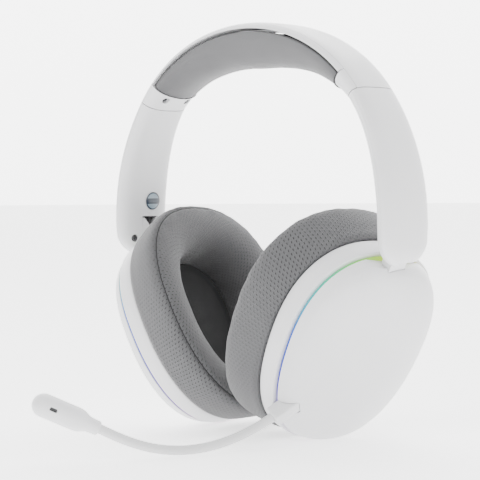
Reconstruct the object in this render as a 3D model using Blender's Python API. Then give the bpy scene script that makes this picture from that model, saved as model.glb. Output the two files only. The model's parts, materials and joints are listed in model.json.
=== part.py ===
"""Over-ear gaming headset: padded headband, sliding arms, tilting ear cups, plug-in boom mic.

Metres, +Z up, +X to the wearer's left, -Y to the wearer's front. The origin is the point of the
headband pad's underside that rests on the crown of the head. Every shape is worked out for the
wearer's left side; the right side is its mirror image in X, apart from the controls and the mic.
"""

import math

import bmesh
import bpy
from mathutils import Matrix, Vector

MM = 0.001
GAP = 0.3 * MM
LEFT, RIGHT = 1, -1
SIDE_NAMES = {LEFT: "left", RIGHT: "right"}

# Headband arch: outer outline in the XZ plane, t = 0 at the left ear and pi at the right one.
CROWN_TO_ARCH_CENTRE = 70.2 * MM
ARCH_X, ARCH_X3 = 88.5 * MM, 3.0 * MM
ARCH_Z, ARCH_Z3 = 89.5 * MM, 0.9 * MM
BAND_HALF_WIDTH = 13.2 * MM
BAND_EDGE_DEPTH = 3.0 * MM
SEAM_T, PAD_END_T, ARM_END_T = 0.73, 0.86, -0.19
COVER_HALF_WIDTH = 11.0 * MM
COVER_THICKNESS = 1.4 * MM
RECESS_DEPTH = COVER_THICKNESS + GAP
ARM_DEPTH, SEAM_DEPTH, COLLAR_END_DEPTH = 8.7 * MM, 9.2 * MM, 11.2 * MM
ARM_WALL = 1.7 * MM
ARM_FLARE = 0.14
PAD_TOP_DEPTH, PAD_MID_DEPTH, PAD_DEPTH_LOSS = 4.2 * MM, 20.2 * MM, 8.2 * MM
SPRING_BAND_T = 1.02

# Slider strip: straight, along the arch's tangent at the seam.
STRIP_DEPTH = 7.0 * MM
STRIP_HALF = (22.0 * MM, 4.3 * MM, 0.5 * MM)
SLOT_SIDE = 0.3 * MM
HOUSING_WALL = 0.8 * MM
HOUSING_END = 15.0 * MM

# Neck and tilt pivot
NECK_Y = 1.5 * MM
PIVOT = Vector((79.9 * MM, NECK_Y, -6.5 * MM - CROWN_TO_ARCH_CENTRE))
NECK_HALF_WIDTH = 4.8 * MM
NECK_HALF_THICKNESS = 2.6 * MM
EYE_RADIUS, PIN_RADIUS = 2.9 * MM, 1.1 * MM
CHANNEL_TOP = 3.1 * MM - CROWN_TO_ARCH_CENTRE
CHANNEL_OUTER_X = 83.2 * MM
SADDLE_RADIUS, SADDLE_WALL = 10.5 * MM, 1.8 * MM

# Ear cup: its own axes are +X outward, +Y back, +Z up, with X = 0 where ring meets cushion.
CUP_CENTRE = Vector((43.4 * MM, 3.2 * MM, -47.25 * MM - CROWN_TO_ARCH_CENTRE))
CUP_TILT, CUP_YAW, CUP_ROLL = math.radians(27.0), math.radians(-7.8), math.radians(-3.15)
CUP_HALF_WIDTH, CUP_HALF_HEIGHT = 39.7 * MM, 47.5 * MM
CUP_SQUARENESS, CUP_TOP_FLARE = 2.33, 0.082
CUP_SEGMENTS = 40
RING_MIDDLE = 4.7 * MM

# Microphone
PLUG_MOUTH = Vector((14.35 * MM, -26.0 * MM, -23.2 * MM))
PLUG_DIRECTION = Vector((0.0, -0.777, -0.629)).normalized()
PLUG_SIZE = (7.9 * MM, 5.5 * MM)
PLUG_OUTSIDE, PLUG_INSIDE = 11.5 * MM, 2.4 * MM
TONGUE_SIZE, TONGUE_LENGTH = (4.6 * MM, 2.0 * MM), 5.0 * MM
BOOM_HEADING = Vector((-0.45, -0.893, 0.0)).normalized()
BOOM_RADIUS = 2.0 * MM
BOOM_REACH, BOOM_RISE = 73.9 * MM, -0.6 * MM
BOOM_START_HANDLE, BOOM_END_HANDLE = (38.6 * MM, -22.7 * MM), (10.0 * MM, 4.6 * MM)
BOOM_STATIONS = 30
HEAD_RADIUS, HEAD_LENGTH = 4.9 * MM, 29.5 * MM


# ---------------------------------------------------------------- tools


def clear_scene():
    for obj in list(bpy.data.objects):
        bpy.data.objects.remove(obj, do_unlink=True)


def material(name, colour, roughness, metallic=0.0, glow=0.0):
    """A Principled BSDF material, made once for each name."""
    if name in bpy.data.materials:
        return bpy.data.materials[name]
    made = bpy.data.materials.new(name)
    made.use_nodes = True
    shader = made.node_tree.nodes["Principled BSDF"]
    shader.inputs["Base Color"].default_value = (*colour, 1.0)
    shader.inputs["Roughness"].default_value = roughness
    shader.inputs["Metallic"].default_value = metallic
    shader.inputs["Emission Color"].default_value = (*colour, 1.0)
    shader.inputs["Emission Strength"].default_value = glow
    return made


def white_plastic():
    return material("white_plastic", (0.86, 0.86, 0.87), 0.38)


def dark_plastic():
    return material("dark_plastic", (0.04, 0.04, 0.045), 0.5)


def grey_fabric():
    return material("grey_fabric", (0.22, 0.22, 0.23), 0.9)


def steel():
    return material("steel", (0.6, 0.6, 0.62), 0.3, metallic=1.0)


def add_mesh(name, rings, surface, side, loop=False):
    """A closed solid through rings of points, ends capped, or joined end to start with loop."""
    mesh = bpy.data.meshes.new(name)
    shell = bmesh.new()
    rows = [[shell.verts.new((side * p.x, p.y, p.z)) for p in ring] for ring in rings]
    spans = list(zip(rows, rows[1:]))
    if loop:
        spans.append((rows[-1], rows[0]))
    for one, two in spans:
        for i in range(len(one)):
            j = (i + 1) % len(one)
            shell.faces.new((one[i], one[j], two[j], two[i]))
    if not loop:
        shell.faces.new(rows[0])
        shell.faces.new(rows[-1])
    bmesh.ops.recalc_face_normals(shell, faces=shell.faces)
    if shell.calc_volume(signed=True) < 0:
        bmesh.ops.reverse_faces(shell, faces=shell.faces)
    shell.to_mesh(mesh)
    shell.free()
    mesh.shade_smooth()
    mesh.set_sharp_from_angle(angle=math.radians(35))
    mesh.materials.append(surface)
    obj = bpy.data.objects.new(name, mesh)
    bpy.context.scene.collection.objects.link(obj)
    return obj


def block(name, centre, axes, half, surface, side):
    """A box with its half sizes along three unit axes."""
    a, b, c = (axis * size for axis, size in zip(axes, half))
    rings = [[centre + x * a + y * b + z * c for y, z in ((-1, -1), (1, -1), (1, 1), (-1, 1))]
             for x in (-1, 1)]
    return add_mesh(name, rings, surface, side)


def rounded_bar(name, start, along, across, half, corner, lengths, surface, side):
    """A bar of rounded rectangular section; lengths is (distance, scale of the section), ..."""
    other = along.cross(across)
    rings = []
    for distance, scale in lengths:
        ring = []
        for quarter, (sx, sy) in enumerate(((1, 1), (-1, 1), (-1, -1), (1, -1))):
            for step in range(3):
                angle = math.radians(90 * quarter + 45 * step)
                u = sx * (half[0] - corner) + corner * math.cos(angle)
                v = sy * (half[1] - corner) + corner * math.sin(angle)
                ring.append(start + along * distance + across * u * scale + other * v * scale)
        rings.append(ring)
    return add_mesh(name, rings, surface, side)


def turned(name, start, axis, profile, surface, side, segments=16):
    """A round piece; profile is (distance along the axis, radius), ... from end to end."""
    across = axis.orthogonal().normalized()
    other = axis.cross(across)
    rings = []
    for distance, radius in profile:
        turns = [2 * math.pi * i / segments for i in range(segments)]
        rings.append([start + axis * distance
                      + (across * math.cos(a) + other * math.sin(a)) * radius for a in turns])
    return add_mesh(name, rings, surface, side)


def tool(obj):
    """Marks an object as a cutter or a piece that only feeds a Boolean."""
    obj.hide_render = True
    obj.display_type = "WIRE"
    return obj


def boolean(obj, operation, others):
    for other in others:
        step = obj.modifiers.new(operation.lower(), "BOOLEAN")
        step.operation = operation
        step.solver = "EXACT"
        step.object = tool(other)
    return obj


def cut(obj, *cutters):
    return boolean(obj, "DIFFERENCE", cutters)


def fuse(obj, *pieces):
    return boolean(obj, "UNION", pieces)


def joint_empty(name, place, side, parent=None):
    """An empty on a joint's axis, which carries the pieces that move with it."""
    empty = bpy.data.objects.new(name, None)
    empty.empty_display_size = 8 * MM
    empty.matrix_world = Matrix.Translation(Vector((side * place.x, place.y, place.z)))
    bpy.context.scene.collection.objects.link(empty)
    bpy.context.view_layer.update()
    if parent:
        carry(parent, empty)
    return empty


def carry(empty, *pieces):
    """Parents pieces to an empty and leaves them where they are."""
    for piece in pieces:
        piece.parent = empty
        piece.matrix_parent_inverse = empty.matrix_world.inverted()


# ---------------------------------------------------------------- headband


def arch_point(t):
    x = ARCH_X * math.cos(t) - ARCH_X3 * math.cos(3 * t)
    z = ARCH_Z * math.sin(t) - ARCH_Z3 * math.sin(3 * t)
    return Vector((x, 0.0, z - CROWN_TO_ARCH_CENTRE))


def arch_tangent(t):
    """Unit vector along the arch, towards larger t."""
    x = -ARCH_X * math.sin(t) + 3 * ARCH_X3 * math.sin(3 * t)
    z = ARCH_Z * math.cos(t) - 3 * ARCH_Z3 * math.cos(3 * t)
    return Vector((x, 0.0, z)).normalized()


def arch_inward(t):
    along = arch_tangent(t)
    return Vector((-along.z, 0.0, along.x))


def arch_place(t, y, depth):
    """The point at a depth under the arch's outer outline and y across the band."""
    return arch_point(t) + arch_inward(t) * depth + Vector((0.0, y, 0.0))


def sweep(name, stations, section, surface, side):
    """A solid along the arch; section(t) gives its (y, depth) outline."""
    rings = [[arch_place(t, y, depth) for y, depth in section(t)] for t in stations]
    return add_mesh(name, rings, surface, side)


def spread(start, end, count):
    return [start + (end - start) * i / (count - 1) for i in range(count)]


def outer_edge(start, end, count, inset=0.0):
    """Outer outline of the band, from its edge (angle 0) towards its middle (angle pi / 2)."""
    return [((BAND_HALF_WIDTH - inset) * math.sqrt(max(math.cos(a), 0.0)),
             inset + (BAND_EDGE_DEPTH - inset) * (1 - math.sin(a))) for a in spread(start, end, count)]


def inner_edge(depth, count, inset=0.0):
    """Inner outline of an arm or collar, from its edge to its middle."""
    return [((BAND_HALF_WIDTH - inset) * max(math.cos(b), 0.0) ** (2 / 3),
             BAND_EDGE_DEPTH + (depth - inset - BAND_EDGE_DEPTH) * math.sin(b))
            for b in spread(0, math.pi / 2, count)]


def both_edges(half):
    """Mirrors a half outline that ends at the middle, y = 0."""
    return half + [(-y, depth) for y, depth in reversed(half[:-1])]


def recess_angle():
    return math.acos(((COVER_HALF_WIDTH + GAP) / BAND_HALF_WIDTH) ** 2)


def collar_depth(t):
    share = max(0.0, (t - SEAM_T) / (PAD_END_T - SEAM_T))
    return SEAM_DEPTH + (COLLAR_END_DEPTH - SEAM_DEPTH) * share


def arm_depth(t):
    share = min(1.0, max(0.0, (t - 0.3) / (SEAM_T - 0.3)))
    return ARM_DEPTH + (SEAM_DEPTH - ARM_DEPTH) * share


def pad_depth(t):
    share = abs(math.pi / 2 - t) / (math.pi / 2 - PAD_END_T)
    return PAD_MID_DEPTH - PAD_DEPTH_LOSS * share ** 1.5


def recessed_top():
    """Both rims of the band with the top cover's recess between them, from +Y to -Y."""
    rim = outer_edge(0, recess_angle(), 4)
    rim.append((COVER_HALF_WIDTH + GAP, RECESS_DEPTH))
    return rim + [(-y, depth) for y, depth in reversed(rim)]


def headband_frame(_t):
    return recessed_top()


def headband_cover(_t):
    top = both_edges(outer_edge(recess_angle() + 0.03, math.pi / 2, 4))
    return top + [(-COVER_HALF_WIDTH, COVER_THICKNESS), (COVER_HALF_WIDTH, COVER_THICKNESS)]


def headband_pad(t):
    half_width = BAND_HALF_WIDTH - 0.5 * MM
    drop = pad_depth(t) - PAD_TOP_DEPTH
    return [(half_width * math.cos(a), PAD_TOP_DEPTH + drop * math.sin(a) ** 0.9)
            for a in spread(0, math.pi, 13)]


def spring_band(_t):
    top, half_width, thickness = BAND_EDGE_DEPTH + GAP, 6.0 * MM, 0.6 * MM
    return [(half_width, top), (-half_width, top), (-half_width, top + thickness),
            (half_width, top + thickness)]


def collar(t):
    lower = both_edges(inner_edge(collar_depth(t), 6))
    return [(-y, depth) for y, depth in recessed_top()][1:-1] + lower


def strip_box(name, start, end, half_width, half_thickness, surface, side, lift=0.0):
    """A box along the slider strip's line, from start to end measured up from the seam."""
    axes = (arch_tangent(SEAM_T), Vector((0, 1, 0)), arch_inward(SEAM_T))
    middle = arch_place(SEAM_T, 0.0, STRIP_DEPTH - lift) + axes[0] * (start + end) / 2
    half = ((end - start) / 2, half_width, half_thickness)
    return block(name, middle, axes, half, surface, side)


def screw(name, head, axis, surface, side, grow=0.0):
    """A countersunk screw with its head at a point, or its hole where grow is the clearance."""
    top = 5.0 * MM if grow else 0.0
    profile = [(-top, 1.5 * MM + grow), (1.3 * MM + grow, 1.5 * MM + grow),
               (1.7 * MM + grow, 0.8 * MM + grow), (5.2 * MM + grow, 0.8 * MM + grow)]
    return turned(name, head, axis, profile, surface, side, segments=12)


def build_headband():
    ends = (PAD_END_T + 0.003, math.pi - PAD_END_T - 0.003)
    sweep("headband_frame", spread(*ends, 23), headband_frame, white_plastic(), LEFT)
    cover_ends = (SEAM_T + 0.003, math.pi - SEAM_T - 0.003)
    sweep("headband_top_cover", spread(*cover_ends, 27), headband_cover, white_plastic(), LEFT)
    pad_ends = (PAD_END_T + 0.008, math.pi - PAD_END_T - 0.008)
    pad = sweep("headband_pad", spread(*pad_ends, 21), headband_pad, grey_fabric(), LEFT)
    band_ends = (SPRING_BAND_T, math.pi - SPRING_BAND_T)
    sweep("spring_band", spread(*band_ends, 15), spring_band, steel(), LEFT)
    for side in (LEFT, RIGHT):
        build_collar(side)
        room = strip_box("pad_room", 7 * MM, 23 * MM, 6.0 * MM, 4 * MM, dark_plastic(), side,
                         lift=2.05 * MM)
        cut(pad, room)


def build_collar(side):
    word = SIDE_NAMES[side]
    stations = spread(SEAM_T + 0.003, PAD_END_T - 0.002, 4)
    body = sweep("collar_" + word, stations, collar, white_plastic(), side)
    slot_half = (STRIP_HALF[1] + SLOT_SIDE, STRIP_HALF[2] + SLOT_SIDE)
    housing_half = [size + HOUSING_WALL for size in slot_half]
    housing = strip_box("housing", 6 * MM, HOUSING_END, *housing_half, white_plastic(), side)
    slot = strip_box("slot", -3 * MM, HOUSING_END + 2 * MM, *slot_half, white_plastic(), side)
    fuse(body, housing)
    cut(body, slot)
    screw_t, screw_y, screw_depth = 0.815, 6.7 * MM, 8.4 * MM
    for place, y in (("front", -screw_y), ("rear", screw_y)):
        head = arch_place(screw_t, y, screw_depth)
        outward = -arch_inward(screw_t)
        screw(f"collar_screw_{place}_{word}", head, outward, dark_plastic(), side)
        cut(body, screw("hole", head, outward, dark_plastic(), side, grow=GAP))


# ---------------------------------------------------------------- arms


def arm_taper(t, length):
    """1 along the arm, falling to 0 in a rounded end over the last stretch."""
    share = min(1.0, max(0.0, 1 - (t - ARM_END_T) / length))
    return math.sqrt(max(0.0, 1 - share * share))


def arm_flare(t):
    """The arm widens from the seam downward."""
    share = min(1.0, max(0.0, (SEAM_T - t) / (SEAM_T - 0.15)))
    return 1 + ARM_FLARE * share * share * (3 - 2 * share)


def arm_outline(t):
    depth = arm_depth(t)
    width, thickness = arm_taper(t, 0.155) * arm_flare(t), arm_taper(t, 0.105)
    top = outer_edge(math.pi / 2, 0, 5)
    half = top[:-1] + inner_edge(depth, 6)
    ring = half + [(-y, d) for y, d in reversed(half[1:-1])]
    return [(y * width, depth / 2 + (d - depth / 2) * thickness) for y, d in ring]


def arm_hollow(t):
    top = outer_edge(math.pi / 2, 0, 4, ARM_WALL)
    half = top[:-1] + inner_edge(arm_depth(t), 4, ARM_WALL)
    return half + [(-y, d) for y, d in reversed(half[1:-1])]


def arm_stations():
    straight = spread(SEAM_T - 0.003, 0.0, 10)
    return straight + [-0.05, -0.09, -0.12, -0.145, -0.165, -0.18, -0.187]


def arm_half(name, side, keep_outer):
    """One moulded half of the arm: the body, its hollow and everything beyond the parting line."""
    body = sweep(name, arm_stations(), arm_outline, white_plastic(), side)
    hollow = sweep("hollow", spread(SEAM_T - 0.035, 0.02, 9), arm_hollow, white_plastic(), side)
    low, high = ((BAND_EDGE_DEPTH - GAP / 2, 20 * MM) if keep_outer
                 else (-6 * MM, BAND_EDGE_DEPTH + GAP / 2))
    width = 18 * MM
    other_half = [(width, low), (-width, low), (-width, high), (width, high)]
    beyond = sweep("beyond", spread(SEAM_T + 0.05, ARM_END_T - 0.06, 14),
                   lambda _t: other_half, white_plastic(), side)
    axes = (Vector((1, 0, 0)), Vector((0, 1, 0)), Vector((0, 0, 1)))
    channel_depth, channel_bottom = 20 * MM, CHANNEL_TOP - 24 * MM
    channel = block("channel", Vector((CHANNEL_OUTER_X - channel_depth / 2, NECK_Y,
                                       (CHANNEL_TOP + channel_bottom) / 2)), axes,
                    (channel_depth / 2, NECK_HALF_WIDTH + GAP, (CHANNEL_TOP - channel_bottom) / 2),
                    white_plastic(), side)
    return cut(body, hollow, beyond, channel)


def build_arm(side):
    word = SIDE_NAMES[side]
    outer = arm_half("arm_outer_shell_" + word, side, keep_outer=True)
    inner = arm_half("arm_inner_cover_" + word, side, keep_outer=False)
    slot = strip_box("arm_slot", -10 * MM, 3 * MM, STRIP_HALF[1] + SLOT_SIDE,
                     STRIP_HALF[2] + SLOT_SIDE, white_plastic(), side)
    cut(inner, slot)
    strip = strip_box("slider_strip_" + word, -STRIP_HALF[0], STRIP_HALF[0], STRIP_HALF[1],
                      STRIP_HALF[2], steel(), side)
    pin_half = 8.0 * MM
    pin_start = PIVOT - Vector((0, pin_half, 0))
    pin = turned("hinge_pin_" + word, pin_start, Vector((0, 1, 0)),
                 [(0, PIN_RADIUS), (2 * pin_half, PIN_RADIUS)], steel(), side, segments=12)
    cut(inner, turned("pin_hole", pin_start, Vector((0, 1, 0)),
                      [(-GAP, PIN_RADIUS + GAP), (2 * pin_half + GAP, PIN_RADIUS + GAP)],
                      steel(), side, segments=12))
    screw_t, screw_y, screw_depth = -0.09, -8.1 * MM, 7.7 * MM
    head, outward = arch_place(screw_t, screw_y, screw_depth), -arch_inward(screw_t)
    fixing = screw("arm_screw_" + word, head, outward, dark_plastic(), side)
    for half in (outer, inner):
        cut(half, screw("hole", head, outward, dark_plastic(), side, grow=GAP))
    cable = build_cable(side)
    joint = joint_empty("slide_" + word, arch_point(SEAM_T), side)
    carry(joint, outer, inner, strip, pin, fixing, cable)
    if side == RIGHT:
        carry(joint, build_label(side))
    return joint


def build_cable(side):
    """Signal cable that comes down the arm's hollow and ends in the neck's notch."""
    x, y, top = 80.9 * MM, NECK_Y + 1.2 * MM, CHANNEL_TOP + 12 * MM
    start = Vector((x + 0.3 * MM, y, top))
    profile = [(0, 1.0 * MM), (15.5 * MM, 1.0 * MM)]
    return turned("signal_cable_" + SIDE_NAMES[side], start, Vector((-0.02, 0, -1)).normalized(),
                  profile, dark_plastic(), side, segments=10)


def build_label(side):
    """Round inspection label on the inner face of the arm."""
    t, y, thickness, radius = 0.13, 2.6 * MM, 0.2 * MM, 4.3 * MM
    inward = arch_inward(t)
    start = arch_place(t, y, arm_depth(t) + 0.15 * MM)
    return turned("inspection_label", start, inward, [(0, radius), (thickness, radius)],
                  material("label", (0.45, 0.52, 0.6), 0.4), side, segments=24)


# ---------------------------------------------------------------- ear cups


def cup_matrix():
    turn = Matrix.Rotation(CUP_YAW, 4, "Z") @ Matrix.Rotation(CUP_TILT, 4, "Y")
    return Matrix.Translation(CUP_CENTRE) @ turn @ Matrix.Rotation(CUP_ROLL, 4, "X")


def cup_place(x, y, z):
    return cup_matrix() @ Vector((x, y, z))


def cup_axis(x, y, z):
    return (cup_matrix().to_3x3() @ Vector((x, y, z))).normalized()


def cup_outline(x, inset, count=CUP_SEGMENTS):
    """The cup's rounded trapezoid outline at a distance x outward, inset from the full size."""
    power = 2 / CUP_SQUARENESS
    ring = []
    for i in range(count):
        a = 2 * math.pi * i / count
        across = math.copysign(abs(math.cos(a)) ** power, math.cos(a))
        up = math.copysign(abs(math.sin(a)) ** power, math.sin(a))
        y = (CUP_HALF_WIDTH - inset) * across * (1 + CUP_TOP_FLARE * up)
        ring.append(cup_place(x, y, (CUP_HALF_HEIGHT - inset) * up))
    return ring


def cup_dish(name, profile, surface, side):
    """A filled solid through outlines; profile is (x, inset), ..."""
    return add_mesh(name, [cup_outline(x, inset) for x, inset in profile], surface, side)


def cup_hoop(name, profile, surface, side, count=CUP_SEGMENTS):
    """A ring with a closed (x, inset) profile, carried round the cup's outline."""
    outlines = [cup_outline(x, inset, count) for x, inset in profile]
    return add_mesh(name, outlines, surface, side, loop=True)


def at_mm(*pairs):
    return [(x * MM, inset * MM) for x, inset in pairs]


def neck_axes():
    tilt = Matrix.Rotation(CUP_TILT, 3, "Y")
    return tilt @ Vector((1, 0, 0)), Vector((0, 1, 0)), tilt @ Vector((0, 0, 1))


def neck_block(name, top, bottom, half_thickness, half_width, side):
    """A box in the neck's tilted axes, between two heights measured up from the pivot."""
    axes = neck_axes()
    centre = PIVOT + axes[2] * (top + bottom) / 2
    half = (half_thickness, half_width, (top - bottom) / 2)
    return block(name, centre, axes, half, white_plastic(), side)


def pivot_cylinder(name, radius, half_width, side, segments=32):
    start = PIVOT - Vector((0, half_width, 0))
    return turned(name, start, Vector((0, 1, 0)), [(0, radius), (2 * half_width, radius)],
                  white_plastic(), side, segments=segments)


def build_neck(side):
    """Plate that hangs in the arm's channel on the pin and runs down into the cup."""
    word = SIDE_NAMES[side]
    body = neck_block("neck_" + word, 0.0, -18.0 * MM, NECK_HALF_THICKNESS, NECK_HALF_WIDTH, side)
    eye = pivot_cylinder("eye", EYE_RADIUS, NECK_HALF_WIDTH - 0.02 * MM, side, segments=20)
    plate_top, plate_bottom = CHANNEL_TOP - 0.7 * MM, PIVOT.z - 1.0 * MM
    plate_x, plate_half = 78.5 * MM, 1.4 * MM
    plate = block("plate", Vector((plate_x, NECK_Y, (plate_top + plate_bottom) / 2)),
                  (Vector((1, 0, 0)), Vector((0, 1, 0)), Vector((0, 0, 1))),
                  (plate_half, NECK_HALF_WIDTH - 0.05 * MM, (plate_top - plate_bottom) / 2),
                  white_plastic(), side)
    foot = neck_block("foot", -16.2 * MM, -18.4 * MM, NECK_HALF_THICKNESS - 0.8 * MM, 7 * MM, side)
    notch = [Vector((x, NECK_Y + y, plate_top + z)) for x in (74 * MM, 82 * MM)
             for y, z in ((-4.2 * MM, 1 * MM), (4.6 * MM, 1 * MM), (1.0 * MM, -5.0 * MM))]
    wedge = add_mesh("notch", [notch[:3], notch[3:]], white_plastic(), side)
    fuse(body, eye, plate, foot)
    return cut(body, wedge, pivot_cylinder("pin_way", PIN_RADIUS + GAP, 12 * MM, side, segments=12))


def build_cup_shell(side):
    """Outer housing: a pillow-shaped bowl, hollowed round the arm's end and slotted for the neck."""
    outer = at_mm((10.6, 2.2), (13.0, 2.9), (15.5, 4.3), (17.7, 6.6), (19.4, 10.0), (20.6, 14.5),
                  (21.3, 20.0), (21.5, 25.0))
    inner = at_mm((9.0, 4.0), (13.0, 4.7), (15.1, 6.3), (17.0, 9.0), (18.5, 13.0), (19.4, 18.0),
                  (19.7, 24.0))
    shell = cup_dish("cup_shell_" + SIDE_NAMES[side], outer, white_plastic(), side)
    hollow = cup_dish("cup_hollow", inner, white_plastic(), side)
    cut(hollow, pivot_cylinder("saddle_wall", SADDLE_RADIUS + SADDLE_WALL, 16 * MM, side))
    relief = pivot_cylinder("arm_relief", SADDLE_RADIUS, 17.5 * MM, side)
    neck_way = neck_block("neck_way", -7 * MM, -19 * MM, NECK_HALF_THICKNESS + GAP,
                          NECK_HALF_WIDTH + GAP, side)
    return cut(shell, hollow, relief, neck_way)


def build_cup(side, parent):
    """Everything that tilts with one ear cup, apart from the controls and the microphone."""
    word = SIDE_NAMES[side]
    shell = build_cup_shell(side)
    ring = cup_hoop("cup_ring_" + word, at_mm((0.3, 0.4), (1.0, 0.0), (7.8, 0.8), (8.8, 1.2),
                    (9.0, 1.6), (9.0, 6.0), (7.6, 6.0), (7.6, 3.4), (0.3, 2.8)),
                    white_plastic(), side)
    light = cup_hoop("light_ring_" + word, at_mm((9.9, 2.5), (10.4, 2.5), (10.4, 5.2), (9.9, 5.2)),
                     material("light_guide", (0.2, 0.8, 0.7), 0.3, glow=1.0), side)
    cushion = cup_hoop("ear_cushion_" + word, at_mm(
        (-0.4, -1.0), (-5.0, -2.2), (-12.0, -3.8), (-18.5, -5.0), (-21.2, -3.4), (-22.0, 0.0),
        (-22.2, 6.0), (-20.5, 11.5), (-15.0, 15.3), (-6.0, 16.6), (-0.4, 16.4)),
        grey_fabric(), side, count=36)
    baffle = cup_dish("baffle_" + word, at_mm((0.4, 3.2), (1.4, 3.2)), dark_plastic(), side)
    driver_radius = 19.2 * MM
    outward = cup_axis(1, 0, 0)
    cut(baffle, turned("driver_way", cup_place(-4 * MM, 0, 0), outward,
                       [(0, driver_radius + GAP), (10 * MM, driver_radius + GAP)],
                       dark_plastic(), side, segments=28))
    driver = turned("driver_" + word, cup_place(0.7 * MM, 0, 0), outward,
                    [(0, driver_radius), (1.4 * MM, driver_radius), (3.2 * MM, 15 * MM),
                     (3.2 * MM, 12 * MM), (7.0 * MM, 12 * MM)], dark_plastic(), side, segments=28)
    cloth = cup_dish("speaker_cloth_" + word, at_mm((-0.9, 17.2), (-0.3, 17.2)),
                     dark_plastic(), side)
    joint = joint_empty("tilt_" + word, PIVOT, side, parent)
    carry(joint, shell, ring, light, cushion, baffle, driver, cloth, build_neck(side))
    return joint, shell, ring


def build_electronics(left_joint, right_joint):
    axes = [cup_axis(1, 0, 0), cup_axis(0, 1, 0), cup_axis(0, 0, 1)]
    board = block("main_board", cup_place(9.3 * MM, 2 * MM, 2 * MM), axes,
                  (0.8 * MM, 15 * MM, 19 * MM), material("board", (0.02, 0.16, 0.08), 0.4), LEFT)
    carry(left_joint, board)
    battery = block("battery", cup_place(11.5 * MM, 0, -2 * MM), axes,
                    (2.8 * MM, 15 * MM, 18 * MM), material("battery", (0.3, 0.3, 0.34), 0.35), RIGHT)
    carry(right_joint, battery)


# ---------------------------------------------------------------- controls, left cup only


def rim_frame(height):
    """Distance back and outward slope of the cup's outline at a height, on its rear side."""
    up = height / CUP_HALF_HEIGHT
    across = (1 - abs(up) ** CUP_SQUARENESS) ** (1 / CUP_SQUARENESS)
    y = CUP_HALF_WIDTH * across * (1 + CUP_TOP_FLARE * up)
    slope_y = across ** (CUP_SQUARENESS - 1) / CUP_HALF_WIDTH
    slope_z = math.copysign(abs(up) ** (CUP_SQUARENESS - 1), up) / CUP_HALF_HEIGHT
    return y, slope_y, slope_z


def rim_point(height, inset):
    """Place under the ring's rear face and the direction straight out of it."""
    y, slope_y, slope_z = rim_frame(height)
    length = math.hypot(slope_y, slope_z)
    place = cup_place(RING_MIDDLE, y - inset * slope_y / length, height - inset * slope_z / length)
    return place, cup_axis(0, slope_y, slope_z)


def build_button(name, height, radius, ring, parent):
    """A round push button that stands about 1 mm proud of the ring, with a flange behind it."""
    place, outward = rim_point(height, 5.0 * MM)
    flange = radius + 0.5 * MM
    profile = [(0, flange), (0.9 * MM, flange), (0.9 * MM, radius),
               (5.2 * MM, radius), (5.5 * MM, radius - 0.4 * MM)]
    cap = turned(name, place, outward, profile, white_plastic(), LEFT)
    cut(ring, turned("button_way", place, outward,
                     [(-2 * MM, radius + GAP), (8 * MM, radius + GAP)], white_plastic(), LEFT))
    carry(joint_empty("press_" + name, place, LEFT, parent), cap)


def build_volume_wheel(height, ring, parent):
    radius, half_thickness, hub = 5.6 * MM, 1.3 * MM, 4.8 * MM
    place, outward = rim_point(height, hub)
    axis = cup_axis(1, 0, 0)
    wheel = turned("volume_wheel", place - axis * half_thickness, axis,
                   [(0, radius - 0.3 * MM), (0.3 * MM, radius), (2 * half_thickness - 0.3 * MM, radius),
                    (2 * half_thickness, radius - 0.3 * MM)], dark_plastic(), LEFT, segments=28)
    room = half_thickness + GAP
    cut(ring, turned("wheel_way", place - axis * room, axis,
                     [(0, radius + GAP), (2 * room, radius + GAP)], dark_plastic(), LEFT, segments=28))
    carry(joint_empty("turn_volume_wheel", place, LEFT, parent), wheel)


def build_usb_port(shell, parent):
    """Charging socket in the lower rear of the left shell."""
    direction = cup_axis(0, 0.62, -0.78)
    across = cup_axis(1, 0, 0)
    mouth = cup_place(13.6 * MM, 21.8 * MM, -35.0 * MM)
    half, corner = (1.6 * MM, 4.5 * MM), 1.5 * MM
    start = mouth - direction * 6.5 * MM
    port = rounded_bar("usb_port", start, direction, across, half, corner,
                       [(0, 1), (6.3 * MM, 1)], steel(), LEFT)
    slit = rounded_bar("usb_mouth", start + direction * 1.0 * MM, direction, across,
                       (1.2 * MM, 4.1 * MM), 1.1 * MM, [(0, 1), (9 * MM, 1)], steel(), LEFT)
    grown = (half[0] + GAP, half[1] + GAP)
    way = rounded_bar("usb_way", start, direction, across, grown, corner + GAP,
                      [(-6 * MM, 1), (20 * MM, 1)], steel(), LEFT)
    cut(port, slit)
    cut(shell, way)
    carry(parent, port)


# ---------------------------------------------------------------- microphone, left cup only


def plug_axes():
    """Out of the socket, outward from the cup, and across both."""
    out = cup_axis(*PLUG_DIRECTION)
    face = cup_axis(1, 0, 0)
    return out, face, out.cross(face)


def plug_bar(name, start, lengths, size, corner, grow, surface):
    out, face, _across = plug_axes()
    half = (size[0] / 2 + grow, size[1] / 2 + grow)
    return rounded_bar(name, start, out, face, half, corner, lengths, surface, LEFT)


def boom_curve():
    """Centre line of the gooseneck: one Bezier arc in an upright plane, from the plug's end."""
    out = plug_axes()[0]
    start = cup_place(*PLUG_MOUTH) + out * (PLUG_OUTSIDE + GAP)
    a, b = BOOM_START_HANDLE, BOOM_END_HANDLE
    corners = [(0.0, 0.0), a, (BOOM_REACH - b[0], BOOM_RISE - b[1]), (BOOM_REACH, BOOM_RISE)]
    points = []
    for u in spread(0, 1, BOOM_STATIONS):
        weights = ((1 - u) ** 3, 3 * u * (1 - u) ** 2, 3 * u * u * (1 - u), u ** 3)
        reach = sum(w * c[0] for w, c in zip(weights, corners))
        rise = sum(w * c[1] for w, c in zip(weights, corners))
        points.append(start + BOOM_HEADING * reach + Vector((0, 0, rise)))
    return points


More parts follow.
